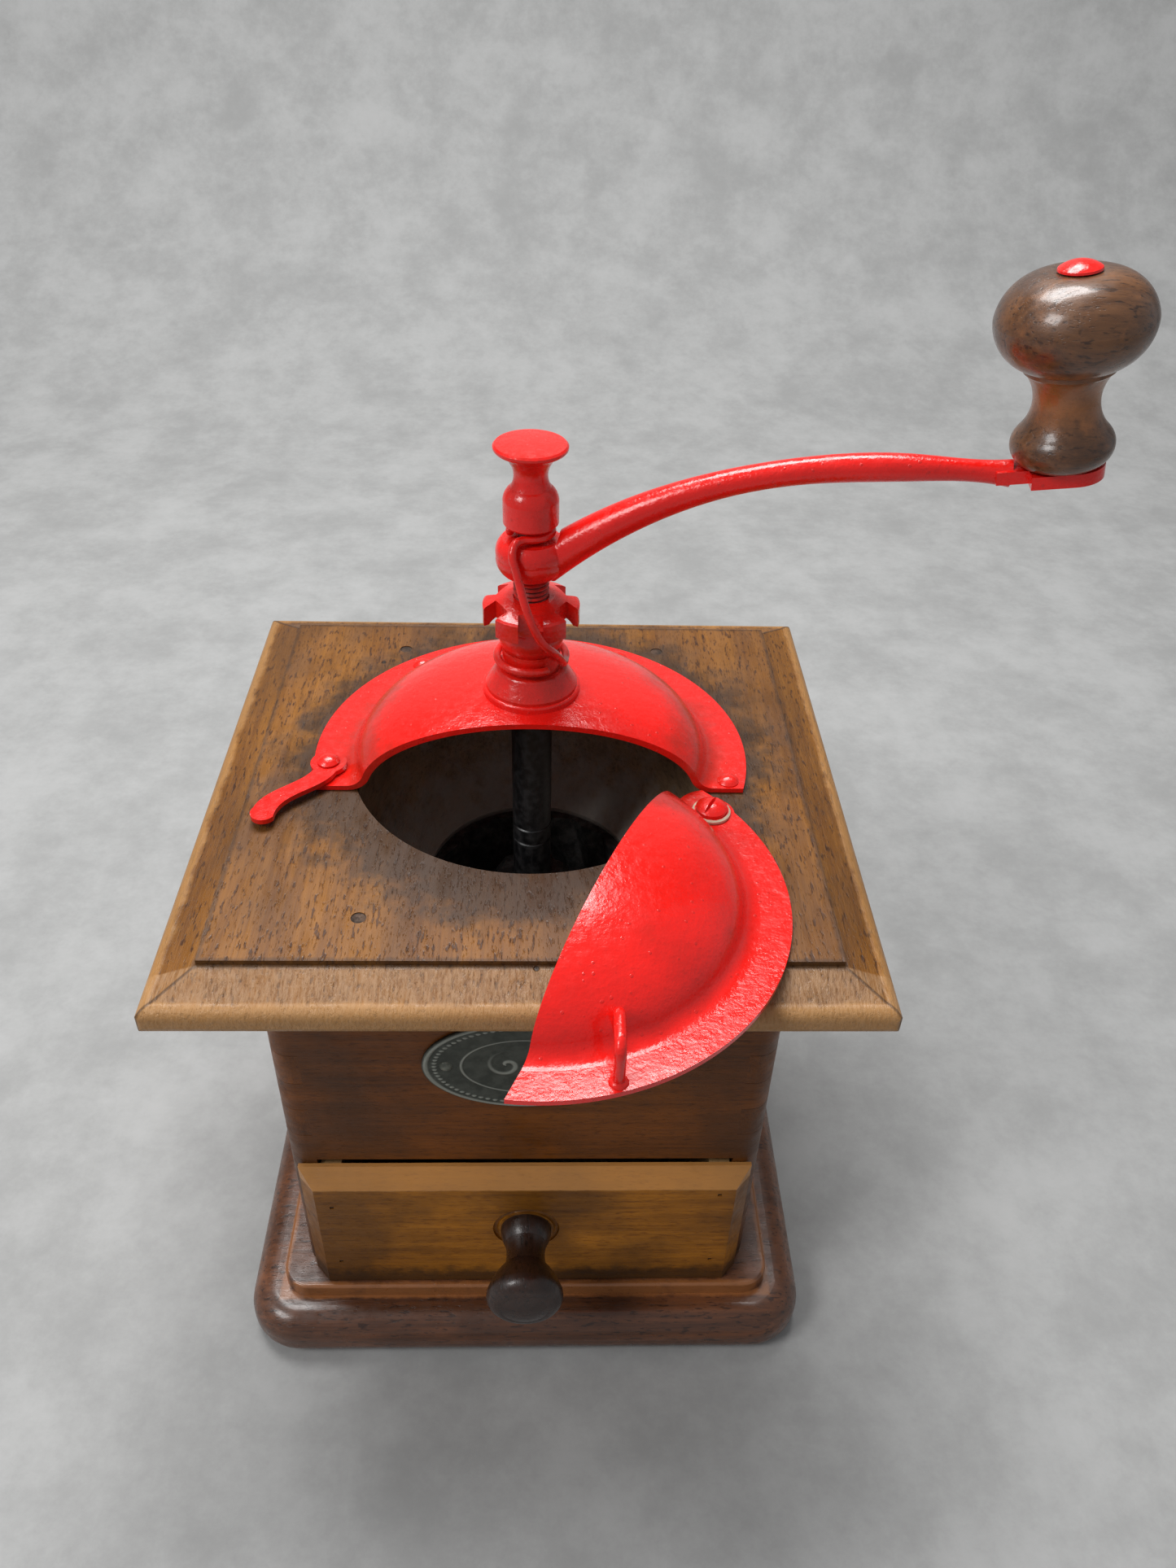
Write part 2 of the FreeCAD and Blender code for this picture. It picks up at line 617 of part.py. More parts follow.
def drawer_knob():
    """The turned knob, with a tenon that passes through the front board."""
    length = DRAWER_KNOB_LENGTH
    ball = length - 5.4
    knob = turned(
        (0, -DRAWER_FRONT_THICKNESS), (DRAWER_TENON_RADIUS, -DRAWER_FRONT_THICKNESS), (DRAWER_TENON_RADIUS, 0),
        (6.3, 0), ((6.1, 2.2), (5.2, 4.4)), ((4.7, 7.6), (5.2, 10.4)),
        ((7.6, ball - 3.6), (DRAWER_KNOB_RADIUS, ball)), ((8.1, ball + 3.2), (5.6, length - 1.2)),
        cap(5.6, length - 1.2, 1.2),
    )
    knob = spun(knob, 90, axis=Vector(1, 0, 0))
    return moved(knob, Vector(0, DRAWER_FACE_BACK - DRAWER_FRONT_THICKNESS, DRAWER_KNOB_Z))


# ---- pressed metal cover -------------------------------------------------------------------------
def half_ellipsoid(radius, height, low):
    """The upper half of an ellipsoid of revolution, standing at a height."""
    curve = Part.Ellipse(Vector(radius, 0, 0), Vector(0, 0, height), Vector(0, 0, 0))
    arc = curve.toShape(0, math.pi / 2)
    centre = Vector(0, 0, 0)
    upright = Part.makeLine(Vector(0, 0, height), centre)
    level = Part.makeLine(centre, Vector(radius, 0, 0))
    quarter = Part.Face(Part.Wire([arc, upright, level]))
    return moved(quarter.revolve(Vector(0, 0, 0), UP, 360), Vector(0, 0, low))


def dome_sheet():
    """The whole cover as one pressed sheet: a flat flange, a filleted foot and a dome."""
    low = FIELD + COVER_LIFT
    outer = rod(FLANGE_RADIUS, low, low + SHEET).fuse(half_ellipsoid(DOME_RADIUS, DOME_HEIGHT, low + SHEET))
    foot = [e for e in level_edges(outer, low + SHEET) if abs(e.BoundBox.XLength - 2 * DOME_RADIUS) < 0.1]
    outer = outer.makeFillet(DOME_FILLET, foot)
    inner = half_ellipsoid(DOME_RADIUS - SHEET, DOME_HEIGHT, low)
    cavity = rod(FLANGE_RADIUS + 5, low - 30, low).fuse(inner)
    mouth = [e for e in level_edges(cavity, low) if abs(e.BoundBox.XLength - 2 * (DOME_RADIUS - SHEET)) < 0.1]
    cavity = cavity.makeFillet(DOME_FILLET + SHEET, mouth)
    return on_axis(outer.cut(cavity))


def back_cover():
    """The fixed half of the cover, which reaches past the spindle and carries the boss."""
    front = AXIS_Y - BACK_COVER_REACH
    keep = box((-BIG, front, 0), (BIG, BIG, BIG))
    seat_foot = FLANGE_TOP + COVER_LIFT + 0.7 * DOME_HEIGHT
    seat = rod(BOSS_FOOT_RADIUS + 0.7, seat_foot, BOSS_FOOT)
    rim = [e for e in level_edges(seat, BOSS_FOOT)]
    seat = on_axis(seat.makeFillet(0.5, rim))
    hollow = on_axis(half_ellipsoid(DOME_RADIUS - SHEET, DOME_HEIGHT, FIELD + COVER_LIFT))
    cover = dome_sheet().fuse(seat.cut(hollow)).common(keep)
    for cutter in (on_axis(boss_body()), cover_rivets(), latch_rivet()):
        cover = cover.cut(cutter)
    return cover


def turned_open(shape):
    """The front cover's pieces are drawn shut, then turned to where they rest, open."""
    return spun(shape, COVER_OPEN_ANGLE, PIVOT)


def front_cover():
    """The swinging half of the cover, whose corner is rounded about its pivot screw."""
    front = AXIS_Y - BACK_COVER_REACH - COVER_GAP
    keep = box((-BIG, -BIG, 0), (BIG, front, BIG))
    corner = box((PIVOT_X, PIVOT_Y, 0), (BIG, BIG, BIG)).cut(rod(PIVOT_TAB, -1, BIG + 1, PIVOT))
    low = FIELD + COVER_LIFT
    pad = rod(PIVOT_WASHER + 1.0, low, low + SHEET, PIVOT)
    seat = rod(PIVOT_WASHER + 0.4, low + SHEET, BIG, PIVOT)
    hole = rod(SCREW_SHANK + 0.1, 0, BIG, PIVOT)
    sheet = dome_sheet().common(keep).cut(corner).fuse(pad).removeSplitter()
    return turned_open(sheet.cut(seat).cut(hole))


LOOP_SPAN = 9.3
LOOP_FOOT_RADIUS = 49.4
LOOP_FOOT_ANGLE = 220.1
LOOP_SKEW = 17.0
LOOP_RISE = 9.4
LOOP_STOCK = 1.15


def cover_loop():
    """The wire loop that lifts the front cover: one foot on the flange, one on the dome."""
    low = FLANGE_TOP + COVER_LIFT
    bend = 2.6
    top = LOOP_RISE
    near = bend * (1 - math.sqrt(0.5))
    leg = Part.makeLine(Vector(0, 0, 0), Vector(0, 0, top - bend))
    rise = Part.Arc(Vector(0, 0, top - bend), Vector(near, 0, top - near), Vector(bend, 0, top)).toShape()
    bar = Part.makeLine(Vector(bend, 0, top), Vector(LOOP_SPAN - bend, 0, top))
    over = Vector(LOOP_SPAN - near, 0, top - near)
    fall = Part.Arc(Vector(LOOP_SPAN - bend, 0, top), over, Vector(LOOP_SPAN, 0, top - bend)).toShape()
    end = Part.makeLine(Vector(LOOP_SPAN, 0, top - bend), Vector(LOOP_SPAN, 0, top - bend - 4.0))
    path = Part.Wire([leg, rise, bar, fall, end])
    start = Part.Wire(Part.makeCircle(LOOP_STOCK, Vector(0, 0, 0), UP))
    loop = path.makePipeShell([start], True, False, 2)
    foot = turned((0, 0), (1.9, 0), ((1.6, 0.6), (LOOP_STOCK, 0.9)), (0, 0.9))
    loop = spun(loop.fuse(foot), LOOP_FOOT_ANGLE + 180 - LOOP_SKEW)
    loop = moved(loop, polar(LOOP_FOOT_RADIUS, LOOP_FOOT_ANGLE, z=low))
    return turned_open(loop.cut(on_axis(sheet_under_loop())))


def sheet_under_loop():
    """The filled dome that the loop's feet are cut to."""
    low = FIELD + COVER_LIFT
    outer = rod(FLANGE_RADIUS, low - 5, low + SHEET).fuse(half_ellipsoid(DOME_RADIUS, DOME_HEIGHT, low + SHEET))
    foot = [e for e in level_edges(outer, low + SHEET) if abs(e.BoundBox.XLength - 2 * DOME_RADIUS) < 0.1]
    return outer.makeFillet(DOME_FILLET, foot)



def latch_lever():
    """The latch: a flat eye on its rivet and a tail with a gentle S bend."""
    centre = latch_pivot_place()
    low = LATCH_LIFT
    high = LATCH_LIFT + LATCH_THICKNESS
    eye = rod(LATCH_EYE, low, high)
    bends = [(0.0, 0.0), (0.36, 1.2), (0.7, -1.0), (1.0, -0.2)]
    widths = (3.0, 2.3, 2.3, 2.9)
    middle = [Vector(LATCH_LENGTH * along, aside, 0) for along, aside in bends]
    left = [p + Vector(0, w, 0) for p, w in zip(middle, widths)]
    right = [p - Vector(0, w, 0) for p, w in zip(middle, widths)]

    def curve(points):
        spline = Part.BSplineCurve()
        spline.interpolate(points)
        return spline.toShape()

    tip = Part.Arc(left[-1], middle[-1] + Vector(widths[-1], 0, 0), right[-1]).toShape()
    edges = [curve(left), tip, curve(right[::-1]), Part.makeLine(right[0], left[0])]
    tail = Part.Face(Part.Wire(edges)).extrude(Vector(0, 0, high - low))
    lever = eye.fuse(moved(tail, Vector(0, 0, low))).removeSplitter()
    lever = spun(lever, LATCH_ANGLE).cut(rod(RIVET_SHANK + 0.05, -1, 5))
    return moved(lever, centre)


# ---- boss, spindle and what turns on them --------------------------------------------------------
def boss_body():
    """The boss before its bore is cut: a conical foot, a neck, and a spigot through the dome."""
    cone = BOSS_FOOT + BOSS_CONE_HEIGHT
    spigot = BOSS_FOOT - 6.5
    return turned(
        (0, spigot), (7.4, spigot), (7.4, BOSS_FOOT), (BOSS_FOOT_RADIUS, BOSS_FOOT),
        (BOSS_FOOT_RADIUS, BOSS_FOOT + 0.7), (BOSS_CONE_RADIUS, cone - 0.8),
        ((BOSS_CONE_RADIUS - 0.5, cone - 0.1), (BOSS_NECK_RADIUS, cone)),
        (BOSS_NECK_RADIUS, BOSS_TOP), (0, BOSS_TOP),
    )


def spindle_boss():
    """The cast boss on the dome, which guides the spindle's upper end."""
    return on_axis(boss_body().cut(rod(SPINDLE_RADIUS + RUNNING_FIT, 0, BIG)))


def spindle():
    """The spindle: a lower journal, a long round shank, a threaded length, a square and a stud."""
    low = BRIDGE_TOP - BRIDGE_THICKNESS - 3
    shoulder = BOSS_TOP - 2.5
    scribe = BURR_TOP + 12.5
    shaft = turned(
        (0, low), (LOWER_JOURNAL - 0.8, low), (LOWER_JOURNAL, low + 0.8), (LOWER_JOURNAL, BURR_FOOT),
        (SPINDLE_RADIUS, BURR_FOOT), (SPINDLE_RADIUS, scribe), (SPINDLE_RADIUS - 0.3, scribe + 0.3),
        (SPINDLE_RADIUS, scribe + 0.6), (SPINDLE_RADIUS, scribe + 4.6), (SPINDLE_RADIUS - 0.3, scribe + 4.9),
        (SPINDLE_RADIUS, scribe + 5.2), (SPINDLE_RADIUS, shoulder - 0.6), (SPINDLE_RADIUS - 0.6, shoulder),
        (THREAD_RADIUS - THREAD_DEPTH, shoulder), (THREAD_RADIUS - THREAD_DEPTH, HUB_FOOT), (0, HUB_FOOT),
    )
    threads = []
    count = int((HUB_FOOT - 0.2 - shoulder) / THREAD_PITCH)
    root = THREAD_RADIUS - THREAD_DEPTH
    for i in range(count):
        z = shoulder + i * THREAD_PITCH
        threads.append(turned(
            (root - 1, z), (root, z), (THREAD_RADIUS, z + 0.42 * THREAD_PITCH),
            (THREAD_RADIUS, z + 0.58 * THREAD_PITCH), (root, z + THREAD_PITCH), (root - 1, z + THREAD_PITCH),
        ))
    half = SQUARE_DRIVE / 2
    square = box((-half, -half, HUB_FOOT), (half, half, HUB_TOP))
    stud = rod(STUD_RADIUS, HUB_TOP, KNOB_NUT_FOOT + 6.0)
    square = spun(square, CRANK_ANGLE)
    return on_axis(shaft.multiFuse(threads + [square, stud])).cut(burr_pin())


def adjusting_nut():
    """The star nut: a beaded collar, a sloping top and six square lobes with notches between."""
    collar = NUT_FOOT + NUT_COLLAR_HEIGHT
    lobe_top = collar + NUT_LOBE_HEIGHT
    bore = THREAD_RADIUS + RUNNING_FIT
    body = turned(
        (bore, NUT_FOOT), (6.5, NUT_FOOT), ((7.3, NUT_FOOT + 2.6), (6.7, collar - 0.9)),
        ((6.6, collar - 0.3), (7.3, collar)), (7.3, lobe_top), (5.3, NUT_TOP), (bore, NUT_TOP),
    )
    crown = turned(
        (6.0, collar + 1.6), ((8.2, collar + 1.2), (NUT_LOBE_RADIUS - 1.2, collar)), (NUT_LOBE_RADIUS, collar),
        (NUT_LOBE_RADIUS, lobe_top - 0.4), (NUT_LOBE_RADIUS - 0.5, lobe_top),
        ((8.0, lobe_top + 0.9), (5.3, NUT_TOP)), (6.0 - 1.2, NUT_TOP - 1.2),
    )
    notches = []
    pitch = 360.0 / NUT_LOBES
    for i in range(NUT_LOBES):
        slot = box((7.4, -NUT_NOTCH / 2, collar - 3), (20, NUT_NOTCH / 2, NUT_TOP + 2))
        notches.append(spun(slot, (i + 0.5) * pitch))
    crown = crown.cut(Part.makeCompound(notches)).cut(rod(bore, 0, BIG))
    return on_axis(body.fuse(crown).removeSplitter())


def crank_line(radius):
    """The height of the crank arm's centre line at a radius: a steep rise that levels off."""
    return CRANK_TOP - CRANK_RISE * max(0.0, 1 - radius / CRANK_REACH) ** CRANK_CURVE


def crank_slope(radius):
    """The rise per millimetre of the crank arm's centre line, as an angle in degrees."""
    slope = CRANK_RISE * CRANK_CURVE / CRANK_REACH * max(0.0, 1 - radius / CRANK_REACH) ** (CRANK_CURVE - 1)
    return math.degrees(math.atan(slope))


def tab_root():
    """Where the crank's bar ends and its flat tab begins."""
    return Vector(CRANK_REACH, 0, crank_line(CRANK_REACH) + 0.2)


def handle_frame(shape):
    """Carries a shape from the Z axis to the handle's axis, square to the crank's tab."""
    up_tab = spun(shape, -TAB_TILT, axis=Vector(0, 1, 0))
    along = Vector(math.cos(math.radians(TAB_TILT)), 0, math.sin(math.radians(TAB_TILT)))
    place = tab_root() + along * HANDLE_SETBACK
    return on_axis(spun(moved(up_tab, place), CRANK_ANGLE))


def crank_arm():
    """The forged crank: a barrel hub with a square hole, a tapered round bar and a flat tab."""
    mid = HUB_FOOT + 0.52 * HUB_HEIGHT
    hub = turned(
        (0, HUB_FOOT), (5.4, HUB_FOOT), ((6.9, HUB_FOOT + 1.3), (HUB_RADIUS, mid)),
        ((7.3, HUB_TOP - 1.4), (6.2, HUB_TOP)), (0, HUB_TOP),
    )
    sections = []
    for share in (0.03, 0.09, 0.16, 0.26, 0.4, 0.58, 0.8, 1.0):
        radius = share * CRANK_REACH
        taper = max(0.0, 1 - radius / (0.45 * CRANK_REACH))
        bar = CRANK_END_RADIUS + (CRANK_ROOT_RADIUS - CRANK_END_RADIUS) * taper ** 1.3
        slope = math.radians(crank_slope(radius))
        normal = Vector(math.cos(slope), 0, math.sin(slope))
        sections.append(Part.Wire(Part.makeCircle(bar, Vector(radius, 0, crank_line(radius)), normal)))
    bar = Part.makeLoft(sections, True, False)
    bar = bar.cut(rod(6.5, HUB_TOP, BIG))
    half = TAB_WIDTH / 2
    reach = TAB_LENGTH - half
    plate = box((-3.0, -half, -TAB_THICKNESS / 2), (reach, half, TAB_THICKNESS / 2))
    plate = plate.fuse(rod(half, -TAB_THICKNESS / 2, TAB_THICKNESS / 2, Vector(reach, 0, 0)))
    narrow = box((-5, -CRANK_END_RADIUS - 0.3, -5), (3.0, CRANK_END_RADIUS + 0.3, 5))
    shoulder = plate.common(box((3.0, -BIG, -5), (BIG, BIG, 5))).fuse(plate.common(narrow))
    tab = moved(spun(shoulder, -TAB_TILT, axis=Vector(0, 1, 0)), tab_root())
    half = SQUARE_DRIVE / 2
    square = box((-half, -half, HUB_FOOT - 1), (half, half, HUB_TOP + 1))
    arm = hub.multiFuse([bar, tab]).removeSplitter().cut(square)
    return on_axis(spun(arm, CRANK_ANGLE)).cut(handle_pin())


def handle_pin():
    """The long rivet that the handle turns on: a head under the tab and a domed cap on top."""
    floor = -TAB_THICKNESS / 2
    roof = TAB_THICKNESS / 2 + HANDLE_HEIGHT + 2 * HANDLE_PLAY
    pin = turned(
        (0, floor - 1.3), (2.6, floor - 1.3), (3.9, floor),
        (HANDLE_PIN_RADIUS, floor), (HANDLE_PIN_RADIUS, roof), (3.95, roof), (3.85, roof + 0.4), cap(3.85, roof + 0.4, 1.3),
    )
    return handle_frame(pin)


def handle_knob():
    """The turned wooden handle: a beaded foot, a waisted neck and a flattened mushroom head."""
    low = TAB_THICKNESS / 2 + HANDLE_PLAY
    h = HANDLE_HEIGHT
    bore = HANDLE_PIN_RADIUS + RUNNING_FIT
    knob = turned(
        (bore, low), (7.0, low), ((HANDLE_FOOT_RADIUS, low + 0.095 * h), (8.9, low + 0.17 * h)),
        (8.5, low + 0.185 * h), ((HANDLE_NECK_RADIUS, low + 0.34 * h), (7.7, low + 0.495 * h)),
        (8.3, low + 0.51 * h), (8.3, low + 0.53 * h),
        ((0.875 * HANDLE_RADIUS, low + 0.615 * h), (HANDLE_RADIUS, low + 0.775 * h)),
        ((0.81 * HANDLE_RADIUS, low + 0.925 * h), (4.0, low + h)), (bore, low + h),
    )
    return handle_frame(knob)


def knob_nut():
    """The nut on top of the crank: a drum, a waist and a wide thin disc to grip."""
    low = KNOB_NUT_FOOT
    nut = turned(
        (0, low), (5.5, low), (5.95, low + 0.5), (5.95, low + 5.6), ((5.5, low + 7.0), (4.3, low + 8.4)),
        ((3.6, low + 11.0), (4.5, low + 13.8)), ((5.6, low + 15.3), (7.5, low + 16.3)), (7.8, low + 16.7),
        (7.8, low + 17.2), (7.4, low + 17.6), cap(7.4, low + 17.6, 0.5),
    )
    return on_axis(nut.cut(rod(STUD_RADIUS, 0, low + 6.0)))


def bent_ring(radius, z, start, sweep):
    """A round wire bent to part of a level circle about the spindle's axis."""
    ring = Part.makeTorus(radius, WIRE_RADIUS, Vector(0, 0, 0), UP, -180, 180, sweep)
    return on_axis(moved(spun(ring, start), Vector(0, 0, z)))


def lock_wire():
    """The spring wire that keys the star nut to the crank: an eye, a strand and a ring."""
    eye_radius = STUD_RADIUS + WIRE_RADIUS + 1.0
    ring_radius = BOSS_NECK_RADIUS + WIRE_RADIUS + 0.3
    ring_z = BOSS_FOOT + BOSS_CONE_HEIGHT + WIRE_RADIUS + 1.5
    clear = NUT_LOBE_RADIUS + WIRE_RADIUS + 0.5
    strand = [
        (eye_radius, -112, WIRE_EYE_Z), (6.6, -121, WIRE_EYE_Z),
        (HUB_RADIUS + WIRE_RADIUS + 0.2, -118, HUB_TOP - 0.5),
        (HUB_RADIUS + WIRE_RADIUS + 0.6, -109, HUB_TOP - 3.4), (9.9, -102, HUB_FOOT + 1.2),
        (11.4, -95, HUB_FOOT - 2.3), (clear, -88, NUT_TOP - 0.8), (clear, -80, NUT_TOP - 4.6),
        (clear, -71, NUT_FOOT + NUT_COLLAR_HEIGHT - 0.6), (10.4, -56, NUT_FOOT + 2.4), (9.0, -38, ring_z + 1.2),
        (ring_radius, -15, ring_z),
    ]
    knots = [polar(r, angle, z=z) for r, angle, z in strand]
    pieces = [bent_ring(ring_radius, ring_z, -15, 318)]
    for near, far in zip(knots, knots[1:]):
        pieces.append(Part.makeCylinder(WIRE_RADIUS, (far - near).Length, near, far - near))
    for knot in knots:
        pieces.append(Part.makeSphere(WIRE_RADIUS + 0.03, knot))
    return bent_ring(eye_radius, WIRE_EYE_Z, -112, 318).multiFuse(pieces)


# ---- grinding set --------------------------------------------------------------------------------
def star_wire(count, inner, outer, z, twist):
    """A closed outline of teeth: points that step between two radii."""
    points = []
    for i in range(2 * count):
        radius = outer if i % 2 else inner
        turn = math.radians(180.0 * i / count + twist)
        points.append(Vector(radius * math.cos(turn), radius * math.sin(turn), z))
    return Part.makePolygon(points + points[:1])


def burr_radius(z):
    """The inner burr's outside radius at a height, on its cone."""
    share = (BURR_TOP - z) / BURR_HEIGHT
    return INNER_BURR_TOP_RADIUS + (INNER_BURR_FOOT_RADIUS - INNER_BURR_TOP_RADIUS) * share


def inner_burr():
    """The grinding cone, with slanting teeth, fixed on the spindle."""
    sections = []
    for i in range(5):
        z = BURR_TOP - BURR_HEIGHT * i / 4
        outer = burr_radius(z)
        sections.append(star_wire(INNER_BURR_TEETH, outer - BURR_TOOTH, outer, z, 11.0 * i))
    cone = Part.makeLoft(sections, True, True)
    return on_axis(cone.cut(rod(SPINDLE_RADIUS, 0, BIG))).cut(burr_pin())


def outer_burr():
    """The toothed ring round the cone, with a flange that is screwed up to the hopper block."""
    sections = []
    for i in range(4):
        z = BURR_TOP + 0.5 - (BURR_HEIGHT + 1.0) * i / 3
        flare = 2.4 * (1 - i / 3)
        inner = INNER_BURR_FOOT_RADIUS + GRIND_GAP + flare
        sections.append(star_wire(OUTER_BURR_TEETH, inner, inner + BURR_TOOTH, z, -7.0 * i))
    cavity = Part.makeLoft(sections, True, True)
    lip = OUTER_BURR_RADIUS
    ring = turned(
        (0, BURR_FOOT), (lip + BURR_FLANGE, BURR_FOOT), (lip + BURR_FLANGE, BLOCK_FOOT),
        (lip - 0.2, BLOCK_FOOT), (lip - 0.2, BURR_TOP - 1.0), (lip - 1.4, BURR_TOP), (0, BURR_TOP),
    )
    return on_axis(ring.cut(cavity)).cut(burr_screws())


def burr_pin():
    """The cross pin that drives the inner burr."""
    reach = INNER_BURR_TOP_RADIUS + 1.2
    pin = Part.makeCylinder(1.4, 2 * reach, Vector(-reach, 0, 0), Vector(1, 0, 0))
    return on_axis(moved(pin, Vector(0, 0, BURR_FOOT + 0.45 * BURR_HEIGHT)))


def lower_bridge():
    """The strap under the burrs, with two feet on the block and a bearing for the spindle."""
    half = BRIDGE_WIDTH / 2
    thick = BRIDGE_THICKNESS
    span = BRIDGE_REACH - 5.5
    strap = box((-span, -half, BRIDGE_TOP - thick), (span, half, BRIDGE_TOP))
    pieces = [rod(8.0, BRIDGE_TOP - thick - 1.5, BRIDGE_TOP + 2.5)]
    for side in (-1, 1):
        x_low, x_high = sorted((side * (span - thick), side * span))
        pieces.append(box((x_low, -half, BRIDGE_TOP - thick), (x_high, half, BLOCK_FOOT)))
        x_low, x_high = sorted((side * (span - thick), side * (BRIDGE_REACH + 5.5)))
        pieces.append(box((x_low, -half, BLOCK_FOOT - thick), (x_high, half, BLOCK_FOOT)))
    bridge = strap.multiFuse(pieces).removeSplitter().cut(rod(LOWER_JOURNAL + RUNNING_FIT, 0, BIG))
    return on_axis(bridge).cut(bridge_screws())


NODES = {
    "base_plinth": base_plinth,
    "base_screws": base_screws,
    "case_front": case_front,
    "case_back": case_back,
    "case_left": lambda: case_side(-1),
    "case_right": lambda: case_side(1),
    "top_board": top_board,
    "top_board_nails": top_nails,
    "hopper_block": hopper_block,
    "drawer_guides": drawer_guides,
    "name_plate": name_plate,
    "name_plate_nails": name_plate_nails,
    "drawer_front": drawer_front,
    "drawer_left": lambda: drawer_side(-1),
    "drawer_right": lambda: drawer_side(1),
    "drawer_back": drawer_rear,
    "drawer_bottom": drawer_floor,
    "drawer_knob": drawer_knob,
    "drawer_pins": drawer_nails,
    "back_cover": back_cover,
    "cover_rivets": cover_rivets,
    "front_cover": front_cover,
    "cover_loop": cover_loop,
    "cover_pivot_screw": cover_pivot_screw,
    "cover_pivot_washer": cover_pivot_washer,
    "latch_lever": latch_lever,
    "latch_rivet": latch_rivet,
    "spindle_boss": spindle_boss,
    "spindle": spindle,
    "adjusting_nut": adjusting_nut,
    "lock_wire": lock_wire,
    "crank_arm": crank_arm,
    "knob_nut": knob_nut,
    "handle_pin": handle_pin,
    "handle_knob": handle_knob,
    "inner_burr": inner_burr,
    "burr_pin": burr_pin,
    "outer_burr": outer_burr,
    "burr_screws": burr_screws,
    "lower_bridge": lower_bridge,
    "bridge_screws": bridge_screws,
}

os.makedirs("parts", exist_ok=True)
for name, make in NODES.items():
    shape = make()
    if not shape.isValid() or not shape.Solids:
        raise ValueError(f"{name} is not a valid solid")
    if len(shape.Solids) == 1:
        shape = shape.Solids[0]
    shape.exportStep(f"parts/{name}.step")
    print(f"{name}: {len(shape.Solids)} solid(s), {shape.Volume:.0f} mm3")
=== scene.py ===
# %% [markdown]
# # A wooden box coffee mill
# This lesson dresses the mill's measured model with its real finishes: waxed beech with worn
# corners, glossy red paint over pressed sheet, blackened iron. The model is loaded as a fixed frame.
# Its parts already have the right size and place, so every new piece is worked out from them.

# %% Load the frame
import json
import math

import bmesh
import bpy
import numpy as np
from mathutils import Matrix, Vector


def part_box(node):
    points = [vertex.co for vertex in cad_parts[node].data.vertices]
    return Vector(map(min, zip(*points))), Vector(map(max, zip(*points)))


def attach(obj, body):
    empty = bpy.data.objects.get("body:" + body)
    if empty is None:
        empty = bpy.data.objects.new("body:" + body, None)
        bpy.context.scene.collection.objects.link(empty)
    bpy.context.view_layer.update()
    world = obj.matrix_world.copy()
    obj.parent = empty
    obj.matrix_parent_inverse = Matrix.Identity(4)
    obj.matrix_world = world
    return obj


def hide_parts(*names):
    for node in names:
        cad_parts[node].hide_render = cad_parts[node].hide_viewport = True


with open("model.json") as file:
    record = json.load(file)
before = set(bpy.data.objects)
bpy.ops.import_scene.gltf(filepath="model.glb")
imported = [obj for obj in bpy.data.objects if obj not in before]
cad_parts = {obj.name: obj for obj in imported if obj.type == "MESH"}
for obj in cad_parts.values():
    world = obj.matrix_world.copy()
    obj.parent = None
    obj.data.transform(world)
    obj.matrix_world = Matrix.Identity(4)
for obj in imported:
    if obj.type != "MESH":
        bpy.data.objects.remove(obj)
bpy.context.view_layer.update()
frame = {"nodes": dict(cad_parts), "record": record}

# %% [markdown]
# ## Where things are
# Every finish that is tied to a place, such as the grease round the hopper, needs the mill's own
# landmarks. They are read from the boxes of its parts, so nothing has to be fitted by eye.

# %% Landmarks
top_low, top_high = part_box("top_board")
base_low, base_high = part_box("base_plinth")
boss_low, boss_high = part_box("spindle_boss")
case_low, case_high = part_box("case_front")
drawer_low, drawer_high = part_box("drawer_front")
cover_low, cover_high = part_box("back_cover")
AXIS_X = (boss_low.x + boss_high.x) / 2
AXIS_Y = (boss_low.y + boss_high.y) / 2
FIELD_Z = top_high.z
MM = 1000.0
print("spindle axis at", round(AXIS_X * MM, 2), round(AXIS_Y * MM, 2), "mm")
print("board top at", round(FIELD_Z * MM, 1), "mm")

# %% [markdown]
# ## Helpers for shader nodes
# A material is a small network. These helpers add one node at a time and join it up, so that a
# finish reads like a recipe from top to bottom. A group is a recipe that several finishes share.


# %% Node helpers
EVEN = (1.0, 1.0, 1.0)


def add(tree, kind, values=None, **settings):
    """Adds a node, applies its settings, and fills its inputs with values or other nodes' outputs."""
    node = tree.nodes.new(kind)
    for name, value in settings.items():
        setattr(node, name, value)
    for name, value in (values or {}).items():
        socket = node.inputs[name]
        if isinstance(value, bpy.types.NodeSocket):
            tree.links.new(value, socket)
        else:
            socket.default_value = value
    return node


def maths(tree, operation, first, second=0.0, clamp=False):
    """One sum: the result of an operation on two numbers or outputs."""
    return add(tree, "ShaderNodeMath", {0: first, 1: second}, operation=operation, use_clamp=clamp).outputs[0]


def ramp(tree, value, low, high, start=0.0, end=1.0):
    """A smooth step: goes from start to end as the value goes from low to high."""
    values = {"Value": value, "From Min": low, "From Max": high, "To Min": start, "To Max": end}
    return add(tree, "ShaderNodeMapRange", values, interpolation_type="SMOOTHSTEP").outputs[0]


def blend(tree, factor, first, second, mode="MIX"):
    """Mixes two colours by a factor."""
    node = add(tree, "ShaderNodeMix", data_type="RGBA", blend_type=mode, clamp_factor=True)
    for socket, value in zip((node.inputs[0], node.inputs[6], node.inputs[7]), (factor, first, second)):
        if isinstance(value, bpy.types.NodeSocket):
            tree.links.new(value, socket)
        else:
            socket.default_value = value
    return node.outputs[2]


def stretched(tree, vector, scale):
    """The position in millimetres, squeezed along each axis by its own scale."""
    size = [MM * share for share in scale]
    return add(tree, "ShaderNodeMapping", {"Vector": vector, "Scale": size}).outputs[0]


